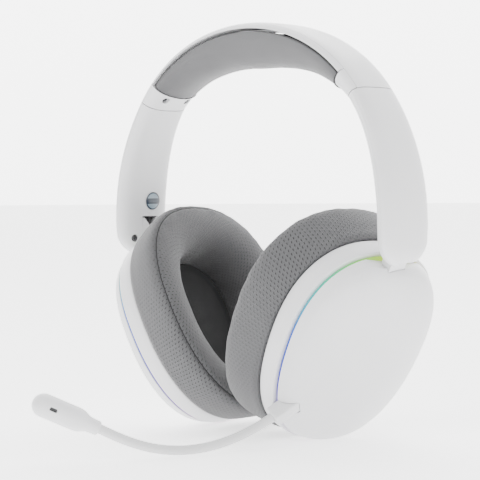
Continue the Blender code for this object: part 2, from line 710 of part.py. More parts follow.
def tube(name, points, surface, segments=10):
    """A round tube through points of the boom's centre line."""
    sideways = BOOM_HEADING.cross(Vector((0, 0, 1)))
    rings = []
    for i, point in enumerate(points):
        along = (points[min(i + 1, len(points) - 1)] - points[max(i - 1, 0)]).normalized()
        normal = sideways.cross(along)
        turns = [2 * math.pi * k / segments for k in range(segments)]
        rings.append([point + (sideways * math.cos(a) + normal * math.sin(a)) * BOOM_RADIUS
                      for a in turns])
    return add_mesh(name, rings, surface, LEFT)


def build_microphone(shell, parent):
    out, face, across = plug_axes()
    mouth = cup_place(*PLUG_MOUTH)
    soft_white = material("soft_white", (0.8, 0.8, 0.8), 0.55)
    body = plug_bar("mic_plug", mouth, [(-PLUG_INSIDE, 1), (PLUG_OUTSIDE - 0.8 * MM, 1),
                    (PLUG_OUTSIDE, 0.86)], PLUG_SIZE, 0.8 * MM, 0.0, white_plastic())
    tongue = plug_bar("tongue", mouth, [(-PLUG_INSIDE - TONGUE_LENGTH, 1), (0, 1)],
                      TONGUE_SIZE, 0.3 * MM, 0.0, steel())
    fuse(body, tongue)
    cut(shell, plug_bar("plug_way", mouth, [(-PLUG_INSIDE - GAP, 1), (20 * MM, 1)],
                        PLUG_SIZE, 0.8 * MM, GAP, white_plastic()))
    socket_start, socket_length = -PLUG_INSIDE - 7.5 * MM, 6.6 * MM
    socket = plug_bar("mic_socket", mouth, [(socket_start, 1), (socket_start + socket_length, 1)],
                      (6.0 * MM, 5.0 * MM), 0.5 * MM, 0.0, dark_plastic())
    cut(socket, plug_bar("tongue_way", mouth, [(-PLUG_INSIDE - TONGUE_LENGTH - GAP, 1), (5 * MM, 1)],
                         TONGUE_SIZE, 0.3 * MM, GAP, dark_plastic()))
    carry(parent, socket)

    line = boom_curve()
    bend = BOOM_STATIONS // 2
    ball = BOOM_RADIUS
    centre = line[bend]
    root = tube("boom_root", line[:bend], soft_white)
    cut(root, ball_at("dimple", centre, ball + GAP, soft_white))
    tip = tube("boom_tip", line[bend:], soft_white)
    fuse(tip, ball_at("knuckle", centre, ball, soft_white))

    end, before = line[-1], line[-2]
    along = (end - before).normalized()
    collar_length = 5.5 * MM
    start = end + along * 0.5 * MM
    head_profile = [(0.0, 2.7 * MM), (0.3 * MM, 3.0 * MM), (collar_length, 3.2 * MM)]
    for angle in spread(-65, 0, 5):
        radians = math.radians(angle)
        head_profile.append((collar_length + HEAD_RADIUS * (1 + math.sin(radians)),
                             HEAD_RADIUS * math.cos(radians)))
    for angle in spread(0, 78, 6):
        radians = math.radians(angle)
        head_profile.append((HEAD_LENGTH - HEAD_RADIUS + HEAD_RADIUS * math.sin(radians),
                             HEAD_RADIUS * math.cos(radians)))
    head = turned("mic_head", start, along, head_profile, white_plastic(), LEFT, segments=20)
    upward = BOOM_HEADING.cross(Vector((0, 0, 1))).cross(along).normalized()
    port_side = upward.cross(along)
    port = start + along * (HEAD_LENGTH * 0.72)
    pocket = rounded_bar("pocket", port, port_side, along, (1.9 * MM, 1.0 * MM), 0.9 * MM,
                         [(0, 1), (9 * MM, 1)], dark_plastic(), LEFT)
    capsule = rounded_bar("mic_capsule", port + port_side * (0.3 * MM), port_side, along,
                          (1.6 * MM, 0.7 * MM), 0.6 * MM, [(0, 1), (4.0 * MM, 1)],
                          dark_plastic(), LEFT)
    cut(head, pocket)
    plug_joint = joint_empty("mic_plug_pull", mouth, LEFT, parent)
    carry(plug_joint, body, root)
    bend_joint = joint_empty("boom_bend", centre, LEFT, plug_joint)
    carry(bend_joint, tip, head, capsule)


def ball_at(name, centre, radius, surface):
    profile = [(-radius * math.cos(math.radians(a)), radius * math.sin(math.radians(a)))
               for a in spread(12, 168, 9)]
    return turned(name, centre, BOOM_HEADING, profile, surface, LEFT, segments=14)


def main():
    clear_scene()
    build_headband()
    left_arm, right_arm = build_arm(LEFT), build_arm(RIGHT)
    left_tilt, left_shell, left_ring = build_cup(LEFT, left_arm)
    right_tilt, _shell, _ring = build_cup(RIGHT, right_arm)
    build_electronics(left_tilt, right_tilt)
    build_button("power_button", -16 * MM, 2.2 * MM, left_ring, left_tilt)
    build_button("mute_button", -6 * MM, 2.2 * MM, left_ring, left_tilt)
    build_volume_wheel(7 * MM, left_ring, left_tilt)
    build_usb_port(left_shell, left_tilt)
    build_microphone(left_shell, left_tilt)


main()
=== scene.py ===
"""Looks of an over-ear gaming headset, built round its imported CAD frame.

Metres in the row frame: +Z up, +X to the wearer's left, -Y to the wearer's front. The hard
shells, the ring, the arms and the band are built again here with the CAD's own formulas at a
finer resolution, the soft pieces are puffed by a short cloth simulation, and the small pieces
keep their CAD solids with finished materials.
"""

import json
import math

import bpy
import numpy as np
from mathutils import Matrix, Vector, noise
from mathutils.kdtree import KDTree

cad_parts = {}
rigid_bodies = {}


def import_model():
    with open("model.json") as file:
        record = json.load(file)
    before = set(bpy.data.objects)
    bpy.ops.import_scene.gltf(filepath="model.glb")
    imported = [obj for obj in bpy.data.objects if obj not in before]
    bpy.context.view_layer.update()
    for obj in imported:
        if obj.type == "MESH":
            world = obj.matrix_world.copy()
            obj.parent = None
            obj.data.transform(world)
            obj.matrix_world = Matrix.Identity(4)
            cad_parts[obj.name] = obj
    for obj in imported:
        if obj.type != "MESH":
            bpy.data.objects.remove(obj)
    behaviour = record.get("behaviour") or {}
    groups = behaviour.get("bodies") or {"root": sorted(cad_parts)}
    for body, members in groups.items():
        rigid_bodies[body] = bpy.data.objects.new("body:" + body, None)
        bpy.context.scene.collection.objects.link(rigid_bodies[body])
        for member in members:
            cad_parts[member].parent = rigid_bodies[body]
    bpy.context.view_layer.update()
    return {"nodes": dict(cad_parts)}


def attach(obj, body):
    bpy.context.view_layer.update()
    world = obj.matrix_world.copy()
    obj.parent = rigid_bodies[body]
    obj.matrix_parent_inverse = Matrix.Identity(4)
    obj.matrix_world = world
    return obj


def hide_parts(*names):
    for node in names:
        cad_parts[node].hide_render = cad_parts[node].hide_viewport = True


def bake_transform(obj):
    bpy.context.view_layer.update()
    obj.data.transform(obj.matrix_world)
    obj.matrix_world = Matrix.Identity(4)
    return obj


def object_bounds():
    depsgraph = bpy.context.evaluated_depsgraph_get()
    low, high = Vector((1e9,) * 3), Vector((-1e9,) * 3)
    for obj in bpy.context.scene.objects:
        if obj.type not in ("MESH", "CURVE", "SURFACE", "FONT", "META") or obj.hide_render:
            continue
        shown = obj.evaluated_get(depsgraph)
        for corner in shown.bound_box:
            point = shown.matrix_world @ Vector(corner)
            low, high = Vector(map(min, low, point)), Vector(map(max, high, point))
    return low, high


MM = 0.001
LEFT, RIGHT = 1, -1
WORDS = {LEFT: "left", RIGHT: "right"}
UP = Vector((0, 0, 1))

# Headband arch, arms and pad: the CAD's own figures.
CROWN_TO_ARCH_CENTRE = 70.2
BAND_HALF_WIDTH, BAND_EDGE_DEPTH = 13.2, 3.0
SEAM_T, PAD_END_T, ARM_END_T = 0.73, 0.86, -0.19
COVER_HALF_WIDTH, COVER_THICKNESS, RECESS_DEPTH = 11.0, 1.4, 1.7
ARM_DEPTH, SEAM_DEPTH, COLLAR_END_DEPTH = 8.7, 9.2, 11.2
PAD_TOP_DEPTH, PAD_MID_DEPTH, PAD_DEPTH_LOSS = 4.2, 20.2, 8.2
STRIP_DEPTH = 7.0
ARM_WALL = 1.7
ARM_FLARE, ARM_FLARE_END_T = 0.14, 0.15
WIDTH_TAPER, THICKNESS_TAPER = 0.155, 0.105
SADDLE_RADIUS, SADDLE_WALL = 10.5, 1.8
PIVOT = Vector((79.9, 1.5, -76.7)) * MM
CHANNEL_TOP, CHANNEL_OUTER_X = -67.1, 83.2

# Ear cup: +X outward, +Y back, +Z up in its own axes.
CUP_CENTRE = Vector((43.4, 3.2, -117.45)) * MM
CUP = (Matrix.Translation(CUP_CENTRE) @ Matrix.Rotation(math.radians(-7.8), 4, "Z")
       @ Matrix.Rotation(math.radians(27.0), 4, "Y") @ Matrix.Rotation(math.radians(-3.15), 4, "X"))
CUP_HALF_WIDTH, CUP_HALF_HEIGHT = 39.7, 47.5
CUP_SQUARENESS, CUP_TOP_FLARE = 2.33, 0.082
RING_MIDDLE = 4.7

# Microphone
PLUG_MOUTH = Vector((14.35, -26.0, -23.2)) * MM
PLUG_DIRECTION = Vector((0.0, -0.777, -0.629)).normalized()
PLUG_OUTSIDE, PLUG_INSIDE = 11.5, 2.4
BOOM_HEADING = Vector((-0.45, -0.893, 0.0)).normalized()
BOOM_RADIUS, BOOM_REACH, BOOM_RISE = 2.0, 73.9, -0.6
BOOM_START_HANDLE, BOOM_END_HANDLE = (38.6, -22.7), (10.0, 4.6)
HEAD_RADIUS, HEAD_LENGTH = 4.9, 29.5

for startup_object in list(bpy.data.objects):
    bpy.data.objects.remove(startup_object)
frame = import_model()
NODES = frame["nodes"]


# ---------------------------------------------------------------- node helpers


class Nodes:
    """Short calls for building one material's node tree."""

    def __init__(self, name):
        self.material = bpy.data.materials.new(name)
        self.material.use_nodes = True
        self.tree = self.material.node_tree
        self.shader = self.tree.nodes["Principled BSDF"]
        self.coordinates = self.tree.nodes.new("ShaderNodeTexCoord")

    def put(self, socket, value):
        if isinstance(value, bpy.types.NodeSocket):
            self.tree.links.new(value, socket)
        else:
            socket.default_value = value

    def math(self, operation, a, b=0.0, c=0.0):
        node = self.tree.nodes.new("ShaderNodeMath")
        node.operation = operation
        for socket, value in zip(node.inputs, (a, b, c)):
            self.put(socket, value)
        return node.outputs[0]

    def noise(self, scale, detail=3.0, vector=None, roughness=0.5):
        node = self.tree.nodes.new("ShaderNodeTexNoise")
        self.put(node.inputs["Vector"], vector or self.coordinates.outputs["Object"])
        node.inputs["Scale"].default_value = scale
        node.inputs["Detail"].default_value = detail
        node.inputs["Roughness"].default_value = roughness
        return node.outputs["Fac"]

    def spread(self, value, low, high, to_low, to_high, smooth=False):
        node = self.tree.nodes.new("ShaderNodeMapRange")
        if smooth:
            node.interpolation_type = "SMOOTHSTEP"
        for socket, setting in zip(node.inputs, (value, low, high, to_low, to_high)):
            self.put(socket, setting)
        return node.outputs["Result"]

    def mix(self, share, one, two):
        node = self.tree.nodes.new("ShaderNodeMix")
        node.data_type = "RGBA"
        self.put(node.inputs["Factor"], share)
        for socket, colour in ((node.inputs[6], one), (node.inputs[7], two)):
            self.put(socket, (*colour, 1.0) if isinstance(colour, tuple) else colour)
        return node.outputs[2]

    def uv(self, name):
        node = self.tree.nodes.new("ShaderNodeUVMap")
        node.uv_map = name
        split = self.tree.nodes.new("ShaderNodeSeparateXYZ")
        self.tree.links.new(node.outputs["UV"], split.inputs[0])
        return node.outputs["UV"], split.outputs["X"], split.outputs["Y"]

    def ramp(self, value, stops):
        node = self.tree.nodes.new("ShaderNodeValToRGB")
        self.put(node.inputs[0], value)
        while len(node.color_ramp.elements) > 1:
            node.color_ramp.elements.remove(node.color_ramp.elements[-1])
        node.color_ramp.elements[0].position = stops[0][0]
        node.color_ramp.elements[0].color = (*stops[0][1], 1.0)
        for place, colour in stops[1:]:
            node.color_ramp.elements.new(place).color = (*colour, 1.0)
        return node.outputs["Color"]

    def bump(self, height, distance, strength=1.0):
        node = self.tree.nodes.new("ShaderNodeBump")
        node.inputs["Strength"].default_value = strength
        node.inputs["Distance"].default_value = distance
        self.put(node.inputs["Height"], height)
        self.put(self.shader.inputs["Normal"], node.outputs["Normal"])

    def set(self, **values):
        for name, value in values.items():
            self.put(self.shader.inputs[name.replace("_", " ")], value)
        return self

    def add(self, *values):
        total = values[0]
        for value in values[1:]:
            total = self.math("ADD", total, value)
        return total


def moulded(name, colour, rough_low, rough_high, grain=2600.0, depth=0.018, shift=0.03):
    """Spark-eroded moulded plastic: faint colour drift, uneven gloss and a fine grain."""
    n = Nodes(name)
    drift = n.noise(38.0, 2.0)
    dull = tuple(c * (1 - shift) for c in colour)
    worn = n.spread(n.noise(95.0, 4.0), 0.35, 0.7, rough_low, rough_high)
    n.set(Base_Color=n.mix(n.spread(drift, 0.35, 0.65, 0.0, 1.0), dull, colour), Roughness=worn,
          IOR=1.47)
    n.bump(n.noise(grain, 2.0), depth * MM, 0.6)
    return n.material


def brushed(name, colour, rough):
    """Drawn steel: long scratches along one direction."""
    n = Nodes(name)
    mapping = n.tree.nodes.new("ShaderNodeMapping")
    mapping.inputs["Scale"].default_value = (9.0, 260.0, 9.0)
    n.tree.links.new(n.coordinates.outputs["Object"], mapping.inputs["Vector"])
    lines = n.noise(26.0, 5.0, mapping.outputs["Vector"])
    dull = tuple(c * 0.82 for c in colour)
    n.set(Base_Color=n.mix(lines, dull, colour), Metallic=1.0,
          Roughness=n.spread(lines, 0.3, 0.7, rough * 0.8, rough * 1.3))
    n.bump(lines, 0.01 * MM, 0.5)
    return n.material


def mesh_fabric(name, light, dark):
    """Sports mesh: a grey knit with short staggered slits; its UV map is in millimetres."""
    pitch_round, pitch_across = SLIT_PITCH
    n = Nodes(name)
    vector, u, v = n.uv("weave")
    row = n.math("DIVIDE", u, pitch_round)
    odd = n.math("MODULO", n.math("FLOOR", row), 2.0)
    du = n.math("MULTIPLY", n.math("SUBTRACT", n.math("FRACT", row), 0.5), pitch_round)
    along = n.add(n.math("DIVIDE", v, pitch_across), n.math("MULTIPLY", odd, 0.5), 40.0)
    dv = n.math("MULTIPLY", n.math("SUBTRACT", n.math("FRACT", along), 0.5), pitch_across)
    slant = n.math("ADD", du, n.math("MULTIPLY", dv, 0.35))
    oval = n.add(n.math("POWER", n.math("DIVIDE", slant, 0.25), 2.0),
                 n.math("POWER", n.math("DIVIDE", dv, 0.66), 2.0))
    slit = n.spread(oval, 0.35, 1.5, 1.0, 0.0, smooth=True)
    lip = n.spread(oval, 1.2, 4.2, 1.0, 0.0, smooth=True)
    knit_u = n.math("SINE", n.math("MULTIPLY", u, 2 * math.pi / 0.58))
    knit_v = n.math("SINE", n.math("MULTIPLY", v, 2 * math.pi / 0.45))
    knit = n.math("MULTIPLY", knit_u, knit_v)
    fibres = n.noise(3.4, 5.0, vector, 0.65)
    cloudy = n.noise(46.0, 3.0)
    yarn = n.add(n.math("MULTIPLY", knit, 0.16), n.math("MULTIPLY", fibres, 0.9),
                 n.math("MULTIPLY", cloudy, 0.5))
    base = n.mix(n.spread(yarn, 0.3, 1.1, 0.0, 1.0), dark, light)
    hole = tuple(c * 0.22 for c in dark)
    n.set(Base_Color=n.mix(n.math("MULTIPLY", slit, 0.95), base, hole), Roughness=0.86,
          Sheen_Weight=0.25, Sheen_Roughness=0.5, Specular_IOR_Level=0.25)
    height = n.add(n.math("MULTIPLY", slit, -1.1), n.math("MULTIPLY", lip, 0.35),
                   n.math("MULTIPLY", knit, 0.1), n.math("MULTIPLY", fibres, 0.28))
    n.bump(height, 0.26 * MM, 0.8)
    return n.material


def plain_fabric(name, light, dark, thread=0.42, sheen=0.3):
    """Close plain knit; its UV map is in millimetres."""
    n = Nodes(name)
    vector, u, v = n.uv("weave")
    weft = n.math("SINE", n.math("MULTIPLY", u, 2 * math.pi / thread))
    warp = n.math("SINE", n.math("MULTIPLY", v, 2 * math.pi / thread))
    knit = n.math("MULTIPLY", weft, warp)
    fibres = n.noise(4.2, 5.0, vector, 0.7)
    cloudy = n.noise(30.0, 3.0)
    yarn = n.add(n.math("MULTIPLY", knit, 0.14), n.math("MULTIPLY", fibres, 0.7),
                 n.math("MULTIPLY", cloudy, 0.7))
    n.set(Base_Color=n.mix(n.spread(yarn, 0.35, 1.05, 0.0, 1.0), dark, light), Roughness=0.8,
          Sheen_Weight=sheen, Sheen_Roughness=0.5, Specular_IOR_Level=0.3)
    n.bump(n.add(n.math("MULTIPLY", knit, 0.3), fibres), 0.09 * MM, 0.7)
    return n.material


def light_guide():
    """A translucent strip that glows in a sweep of colours once round the cup."""
    n = Nodes("light_guide")
    _vector, u, _v = n.uv("weave")
    sweep = n.ramp(u, [(0.0, (1.0, 0.35, 0.02)), (0.12, (0.95, 0.75, 0.02)), (0.25, (0.62, 0.85, 0.05)),
                       (0.315, (0.22, 0.85, 0.12)), (0.37, (0.02, 0.78, 0.42)),
                       (0.43, (0.01, 0.55, 0.75)), (0.475, (0.02, 0.14, 0.85)),
                       (0.56, (0.06, 0.04, 0.62)), (0.64, (0.25, 0.09, 0.62)),
                       (0.75, (0.7, 0.06, 0.5)), (0.88, (0.9, 0.04, 0.08)), (1.0, (1.0, 0.35, 0.02))])
    beads = n.spread(n.noise(420.0, 2.0), 0.3, 0.7, 0.88, 1.0)
    n.set(Base_Color=(0.02, 0.02, 0.02, 1.0), Emission_Color=n.mix(beads, (0.05, 0.06, 0.06), sweep),
          Emission_Strength=GLOW, Roughness=0.6, Specular_IOR_Level=0.1)
    return n.material


def printed_label():
    """Generic round sticker: blue-grey paper, a dark band and a thin rim, with no lettering."""
    n = Nodes("label")
    _vector, u, v = n.uv("weave")
    radius = n.math("SQRT", n.add(n.math("POWER", u, 2.0), n.math("POWER", v, 2.0)))
    band = n.spread(n.math("ABSOLUTE", n.math("ADD", v, 0.02)), 0.3, 0.34, 1.0, 0.0)
    rim = n.spread(n.math("ABSOLUTE", n.math("SUBTRACT", radius, 0.93)), 0.06, 0.1, 1.0, 0.0)
    ticks = n.math("MULTIPLY", n.math("GREATER_THAN", n.math("SINE", n.math("MULTIPLY", u, 24.0)), 0.1),
                   n.spread(n.math("ABSOLUTE", n.math("ADD", v, 0.02)), 0.05, 0.08, 1.0, 0.0))
    inner = n.math("LESS_THAN", n.math("ABSOLUTE", u), 0.6)
    fibre = n.spread(n.noise(900.0, 3.0), 0.3, 0.7, 0.0, 0.25)
    paper = n.mix(fibre, (0.2, 0.27, 0.32), (0.28, 0.36, 0.4))
    dark = n.mix(n.math("MAXIMUM", band, rim), paper, (0.015, 0.025, 0.04))
    n.set(Base_Color=n.mix(n.math("MULTIPLY", ticks, n.math("MULTIPLY", inner, 0.75)), dark,
                           (0.06, 0.1, 0.14)), Roughness=0.3, Coat_Weight=0.4, Coat_Roughness=0.15)
    n.bump(n.noise(900.0, 3.0), 0.01 * MM, 0.4)
    return n.material


SLIT_PITCH = (1.75, 2.05)
GLOW = 1.4
WHITE = moulded("white_plastic", (0.66, 0.66, 0.67), 0.34, 0.46)
SOFT_WHITE = moulded("soft_white", (0.6, 0.6, 0.605), 0.5, 0.62, 1900.0, 0.03)
DARK = moulded("dark_plastic", (0.028, 0.028, 0.03), 0.42, 0.6, 1700.0, 0.03, 0.2)
SCREW = moulded("black_screw", (0.055, 0.055, 0.06), 0.28, 0.42, 2200.0, 0.02, 0.3)
CABLE = moulded("cable", (0.05, 0.05, 0.055), 0.5, 0.65, 1500.0, 0.03, 0.2)
BOARD = moulded("board", (0.015, 0.12, 0.055), 0.35, 0.5, 1200.0, 0.03, 0.3)
STEEL = brushed("steel", (0.62, 0.62, 0.64), 0.3)
BATTERY = brushed("battery", (0.5, 0.5, 0.53), 0.45)
CUSHION = mesh_fabric("mesh_fabric", (0.1, 0.1, 0.103), (0.062, 0.062, 0.065))
PAD = plain_fabric("pad_fabric", (0.105, 0.105, 0.108), (0.085, 0.085, 0.088))
# Dark seam colour: paints the shade in the cushion's seam crease.
SEAM_PAINTED_SHADE = plain_fabric("seam_crease_painted_shade", (0.03, 0.03, 0.032), (0.015, 0.015, 0.016), 0.6, 0.1)
CLOTH = plain_fabric("speaker_cloth", (0.02, 0.02, 0.021), (0.012, 0.012, 0.013), 0.7, 0.15)
PAD_TRIM = plain_fabric("pad_trim", (0.05, 0.05, 0.052), (0.035, 0.035, 0.036), 0.6, 0.1)
LIGHT = light_guide()
LABEL = printed_label()


# ---------------------------------------------------------------- mesh helpers


def piece_from(name, vertices, faces, surface, uvs=None):
    """A linked mesh object; uvs is one (u, v) per face corner, in the order of faces."""
    mesh = bpy.data.meshes.new(name)
    mesh.from_pydata([tuple(v) for v in vertices], [], faces)
    if uvs is not None:
        layer = mesh.uv_layers.new(name="weave")
        layer.data.foreach_set("uv", np.asarray(uvs, np.float32).ravel())
    mesh.calc_loop_triangles()
    points = np.asarray(vertices, float)
    triangles = np.array([t.vertices[:] for t in mesh.loop_triangles])
    a, b, c = (points[triangles[:, k]] for k in range(3))
    if np.einsum("ij,ij->i", a, np.cross(b, c)).sum() < 0:
        mesh.flip_normals()
    mesh.shade_smooth()
    mesh.set_sharp_from_angle(angle=math.radians(38))
    mesh.materials.append(surface)
    obj = bpy.data.objects.new(name, mesh)
    bpy.context.scene.collection.objects.link(obj)
    return obj


def grid(name, rows, surface, side=LEFT, loop=False, uv=None):
    """A closed solid through rows of ring points; uv is (u along a ring, v along the rows)."""
    rows = np.asarray(rows, float) * (side, 1, 1)
    m, n = rows.shape[:2]
    faces, corners = [], []
    u = uv[0] if uv else np.linspace(0, 1, n + 1)
    v = uv[1] if uv else np.linspace(0, 1, m + 1)
    for j in range(m if loop else m - 1):
        k = (j + 1) % m
        for i in range(n):
            h = (i + 1) % n
            faces.append((j * n + i, j * n + h, k * n + h, k * n + i))
            corners += [(u[i], v[j]), (u[i + 1], v[j]), (u[i + 1], v[j + 1]), (u[i], v[j + 1])]
    if not loop:
        for j, ends in ((0, range(n)[::-1]), (m - 1, range(n))):
            faces.append(tuple(j * n + i for i in ends))
            corners += [(u[i], v[j]) for i in ends]
    return piece_from(name, rows.reshape(-1, 3), faces, surface, corners)


def steps(points, closed=True):
    """Distance from the first point to each next one, in mm, with the closing step if closed."""
    points = np.asarray(points, float)
    ends = np.concatenate([points, points[:1]]) if closed else points
    lengths = np.linalg.norm(np.diff(ends, axis=0), axis=1) / MM
    return np.concatenate([[0.0], np.cumsum(lengths)])


def curve_through(points, per_span, closed=False):
    """Catmull-Rom curve through points."""
    p = np.asarray(points, float)
    count = len(p)
    found = []
    for i in range(count if closed else count - 1):
        if closed:
            a, b, c, d = (p[(i + k) % count] for k in (-1, 0, 1, 2))
        else:
            a, b, c, d = (p[min(max(i + k, 0), count - 1)] for k in (-1, 0, 1, 2))
        for s in np.arange(per_span) / per_span:
            found.append(0.5 * (2 * b + (c - a) * s + (2 * a - 5 * b + 4 * c - d) * s * s
                                + (3 * b - a - 3 * c + d) * s ** 3))
    if not closed:
        found.append(p[-1])
    return np.array(found)


def baked(obj):
    """Applies every modifier and sets smooth shading with crisp edges."""
    graph = bpy.context.evaluated_depsgraph_get()
    mesh = bpy.data.meshes.new_from_object(obj.evaluated_get(graph), depsgraph=graph)
    obj.modifiers.clear()
    obj.data = mesh
    mesh.shade_smooth()
    mesh.set_sharp_from_angle(angle=math.radians(32))
    return obj


def cut(obj, *cutters, operation="DIFFERENCE"):
    for cutter in cutters:
        step = obj.modifiers.new("cut", "BOOLEAN")
        step.operation = operation
        step.solver = "EXACT"
        step.object = cutter
    baked(obj)
    for cutter in cutters:
        bpy.data.objects.remove(cutter)
    return obj


def edge_rounded(obj, width, segments=2, angle=38):
    """Rounds sharp edges. The CAD mesh below it stays as it is."""
    bevel = obj.modifiers.new("round", "BEVEL")
    bevel.width = width * MM
    bevel.segments = segments
    bevel.limit_method = "ANGLE"
    bevel.angle_limit = math.radians(angle)
    bevel.harden_normals = False
    return obj


def shown_as(obj, body, slot, *nodes):
    """The piece rides on a body and stands for CAD nodes; slot is not used."""
    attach(obj, body)
    if nodes:
        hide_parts(*nodes)
    return obj


def block(name, centre, axes, half, surface=None, side=LEFT):
    a, b, c = (Vector(axis) * size * MM for axis, size in zip(axes, half))
    rows = [[centre + x * a + y * b + z * c for y, z in ((-1, -1), (1, -1), (1, 1), (-1, 1))]
            for x in (-1, 1)]
    return grid(name, rows, surface or WHITE, side)


def turned(name, start, axis, profile, surface=None, side=LEFT, segments=32, wave=None):
    """A round piece; profile is (distance, radius) in mm; wave(angle) scales the radius."""
    axis = Vector(axis).normalized()
    across = axis.orthogonal().normalized()
    other = axis.cross(across)
    rows = []
    for distance, radius in profile:
        row = []
        for i in range(segments):
            a = 2 * math.pi * i / segments
            size = radius * (wave(a) if wave else 1.0)
            row.append(start + axis * distance * MM
                       + (across * math.cos(a) + other * math.sin(a)) * size * MM)
        rows.append(row)
    return grid(name, rows, surface or WHITE, side)


def rounded_bar(name, start, along, across, half, corner, lengths, surface=None, side=LEFT,
                quarter_steps=6):
    """A bar of rounded rectangular section; lengths is (distance, scale), ... in mm."""
    along, across = Vector(along), Vector(across)
    other = along.cross(across)
    rows = []
    for distance, scale in lengths:
        row = []
        for quarter, (sx, sy) in enumerate(((1, 1), (-1, 1), (-1, -1), (1, -1))):
            for step in range(quarter_steps + 1):
                angle = math.radians(90 * quarter + 90 * step / quarter_steps)
                u = sx * (half[0] - corner) + corner * math.cos(angle)
                v = sy * (half[1] - corner) + corner * math.sin(angle)
                row.append(start + (along * distance + across * u * scale + other * v * scale) * MM)
        rows.append(row)
    return grid(name, rows, surface or WHITE, side)


def tube(name, points, radius, surface, side=LEFT, closed=False, segments=10, normal=None):
    """A round tube along points, with a steady frame."""
    points = [Vector(p) for p in points]
    count = len(points)
    rows = []
    across = None
    for i in range(count):
        if closed:
            along = points[(i + 1) % count] - points[i - 1]
        else:
            along = points[min(i + 1, count - 1)] - points[max(i - 1, 0)]
        along.normalize()
        if normal is not None:
            across = Vector(normal)
        elif across is None:
            across = along.orthogonal()
        across = (across - along * across.dot(along)).normalized()
        other = along.cross(across)
        rows.append([points[i] + (across * math.cos(a) + other * math.sin(a)) * radius * MM
                     for a in (2 * math.pi * k / segments for k in range(segments))])
    around = np.linspace(0, 2 * math.pi * radius, segments + 1)
    return grid(name, rows, surface, side, loop=closed,
                uv=(around, steps([tuple(p) for p in points], closed)))


# ---------------------------------------------------------------- shared shapes


def arch_point(t):
    x = 88.5 * math.cos(t) - 3.0 * math.cos(3 * t)
    z = 89.5 * math.sin(t) - 0.9 * math.sin(3 * t) - CROWN_TO_ARCH_CENTRE
    return Vector((x, 0.0, z)) * MM


def arch_tangent(t):
    x = -88.5 * math.sin(t) + 9.0 * math.sin(3 * t)
    z = 89.5 * math.cos(t) - 2.7 * math.cos(3 * t)
    return Vector((x, 0.0, z)).normalized()


def arch_inward(t):
    along = arch_tangent(t)
    return Vector((-along.z, 0.0, along.x))


def arch_place(t, y, depth):
    return arch_point(t) + arch_inward(t) * depth * MM + Vector((0.0, y * MM, 0.0))


def sweep(name, stations, section, surface=None, side=LEFT):
    rows = [[arch_place(t, y, depth) for y, depth in section(t)] for t in stations]
    around = steps([tuple(p) for p in rows[len(rows) // 2]])
    lengthwise = steps([tuple(row[0]) for row in rows], closed=False)
    return grid(name, rows, surface or WHITE, side, uv=(around, lengthwise))


def outer_edge(start, end, count, inset=0.0):
    return [((BAND_HALF_WIDTH - inset) * math.sqrt(max(math.cos(a), 0.0)),
             inset + (BAND_EDGE_DEPTH - inset) * (1 - math.sin(a)))
            for a in np.linspace(start, end, count)]


def inner_edge(depth, count, inset=0.0):
    return [((BAND_HALF_WIDTH - inset) * max(math.cos(b), 0.0) ** (2 / 3),
             BAND_EDGE_DEPTH + (depth - inset - BAND_EDGE_DEPTH) * math.sin(b))
            for b in np.linspace(0, math.pi / 2, count)]


def mirrored(half):
    return half + [(-y, depth) for y, depth in reversed(half[:-1])]


def outline(inset, count):
    """The cup's rounded trapezoid (y, z) in mm, inset from its full size."""
    a = np.arange(count) * 2 * math.pi / count
    power = 2 / CUP_SQUARENESS
    across = np.copysign(np.abs(np.cos(a)) ** power, np.cos(a))
    up = np.copysign(np.abs(np.sin(a)) ** power, np.sin(a))
    return (CUP_HALF_WIDTH - inset) * across * (1 + CUP_TOP_FLARE * up), (CUP_HALF_HEIGHT - inset) * up


CUP_TURN, CUP_PLACE = np.array(CUP.to_3x3()), np.array(CUP_CENTRE)


def cup_rows(profile, count=160):
    rows = []
    for x, inset in profile:
        y, z = outline(inset, count)
        local = np.stack([np.full(count, x), y, z], -1) * MM
        rows.append(CUP_PLACE + local @ CUP_TURN.T)
    return rows


def cup_place(x, y, z):
    return CUP @ (Vector((x, y, z)) * MM)


def cup_axis(x, y, z):
    return (CUP.to_3x3() @ Vector((x, y, z))).normalized()


def rim_point(height, inset):
    up = height / CUP_HALF_HEIGHT
    across = (1 - abs(up) ** CUP_SQUARENESS) ** (1 / CUP_SQUARENESS)
    y = CUP_HALF_WIDTH * across * (1 + CUP_TOP_FLARE * up)
    slope = Vector((across ** (CUP_SQUARENESS - 1) / CUP_HALF_WIDTH,
                    math.copysign(abs(up) ** (CUP_SQUARENESS - 1), up) / CUP_HALF_HEIGHT)).normalized()
    place = cup_place(RING_MIDDLE, y - inset * slope.x, height - inset * slope.y)
    return place, cup_axis(0, slope.x, slope.y)


def pivot_cylinder(radius, half_width, side):
    return turned("cylinder", PIVOT - Vector((0, half_width * MM, 0)), (0, 1, 0),
                  [(0, radius), (2 * half_width, radius)], side=side, segments=64)


# ---------------------------------------------------------------- soft pieces


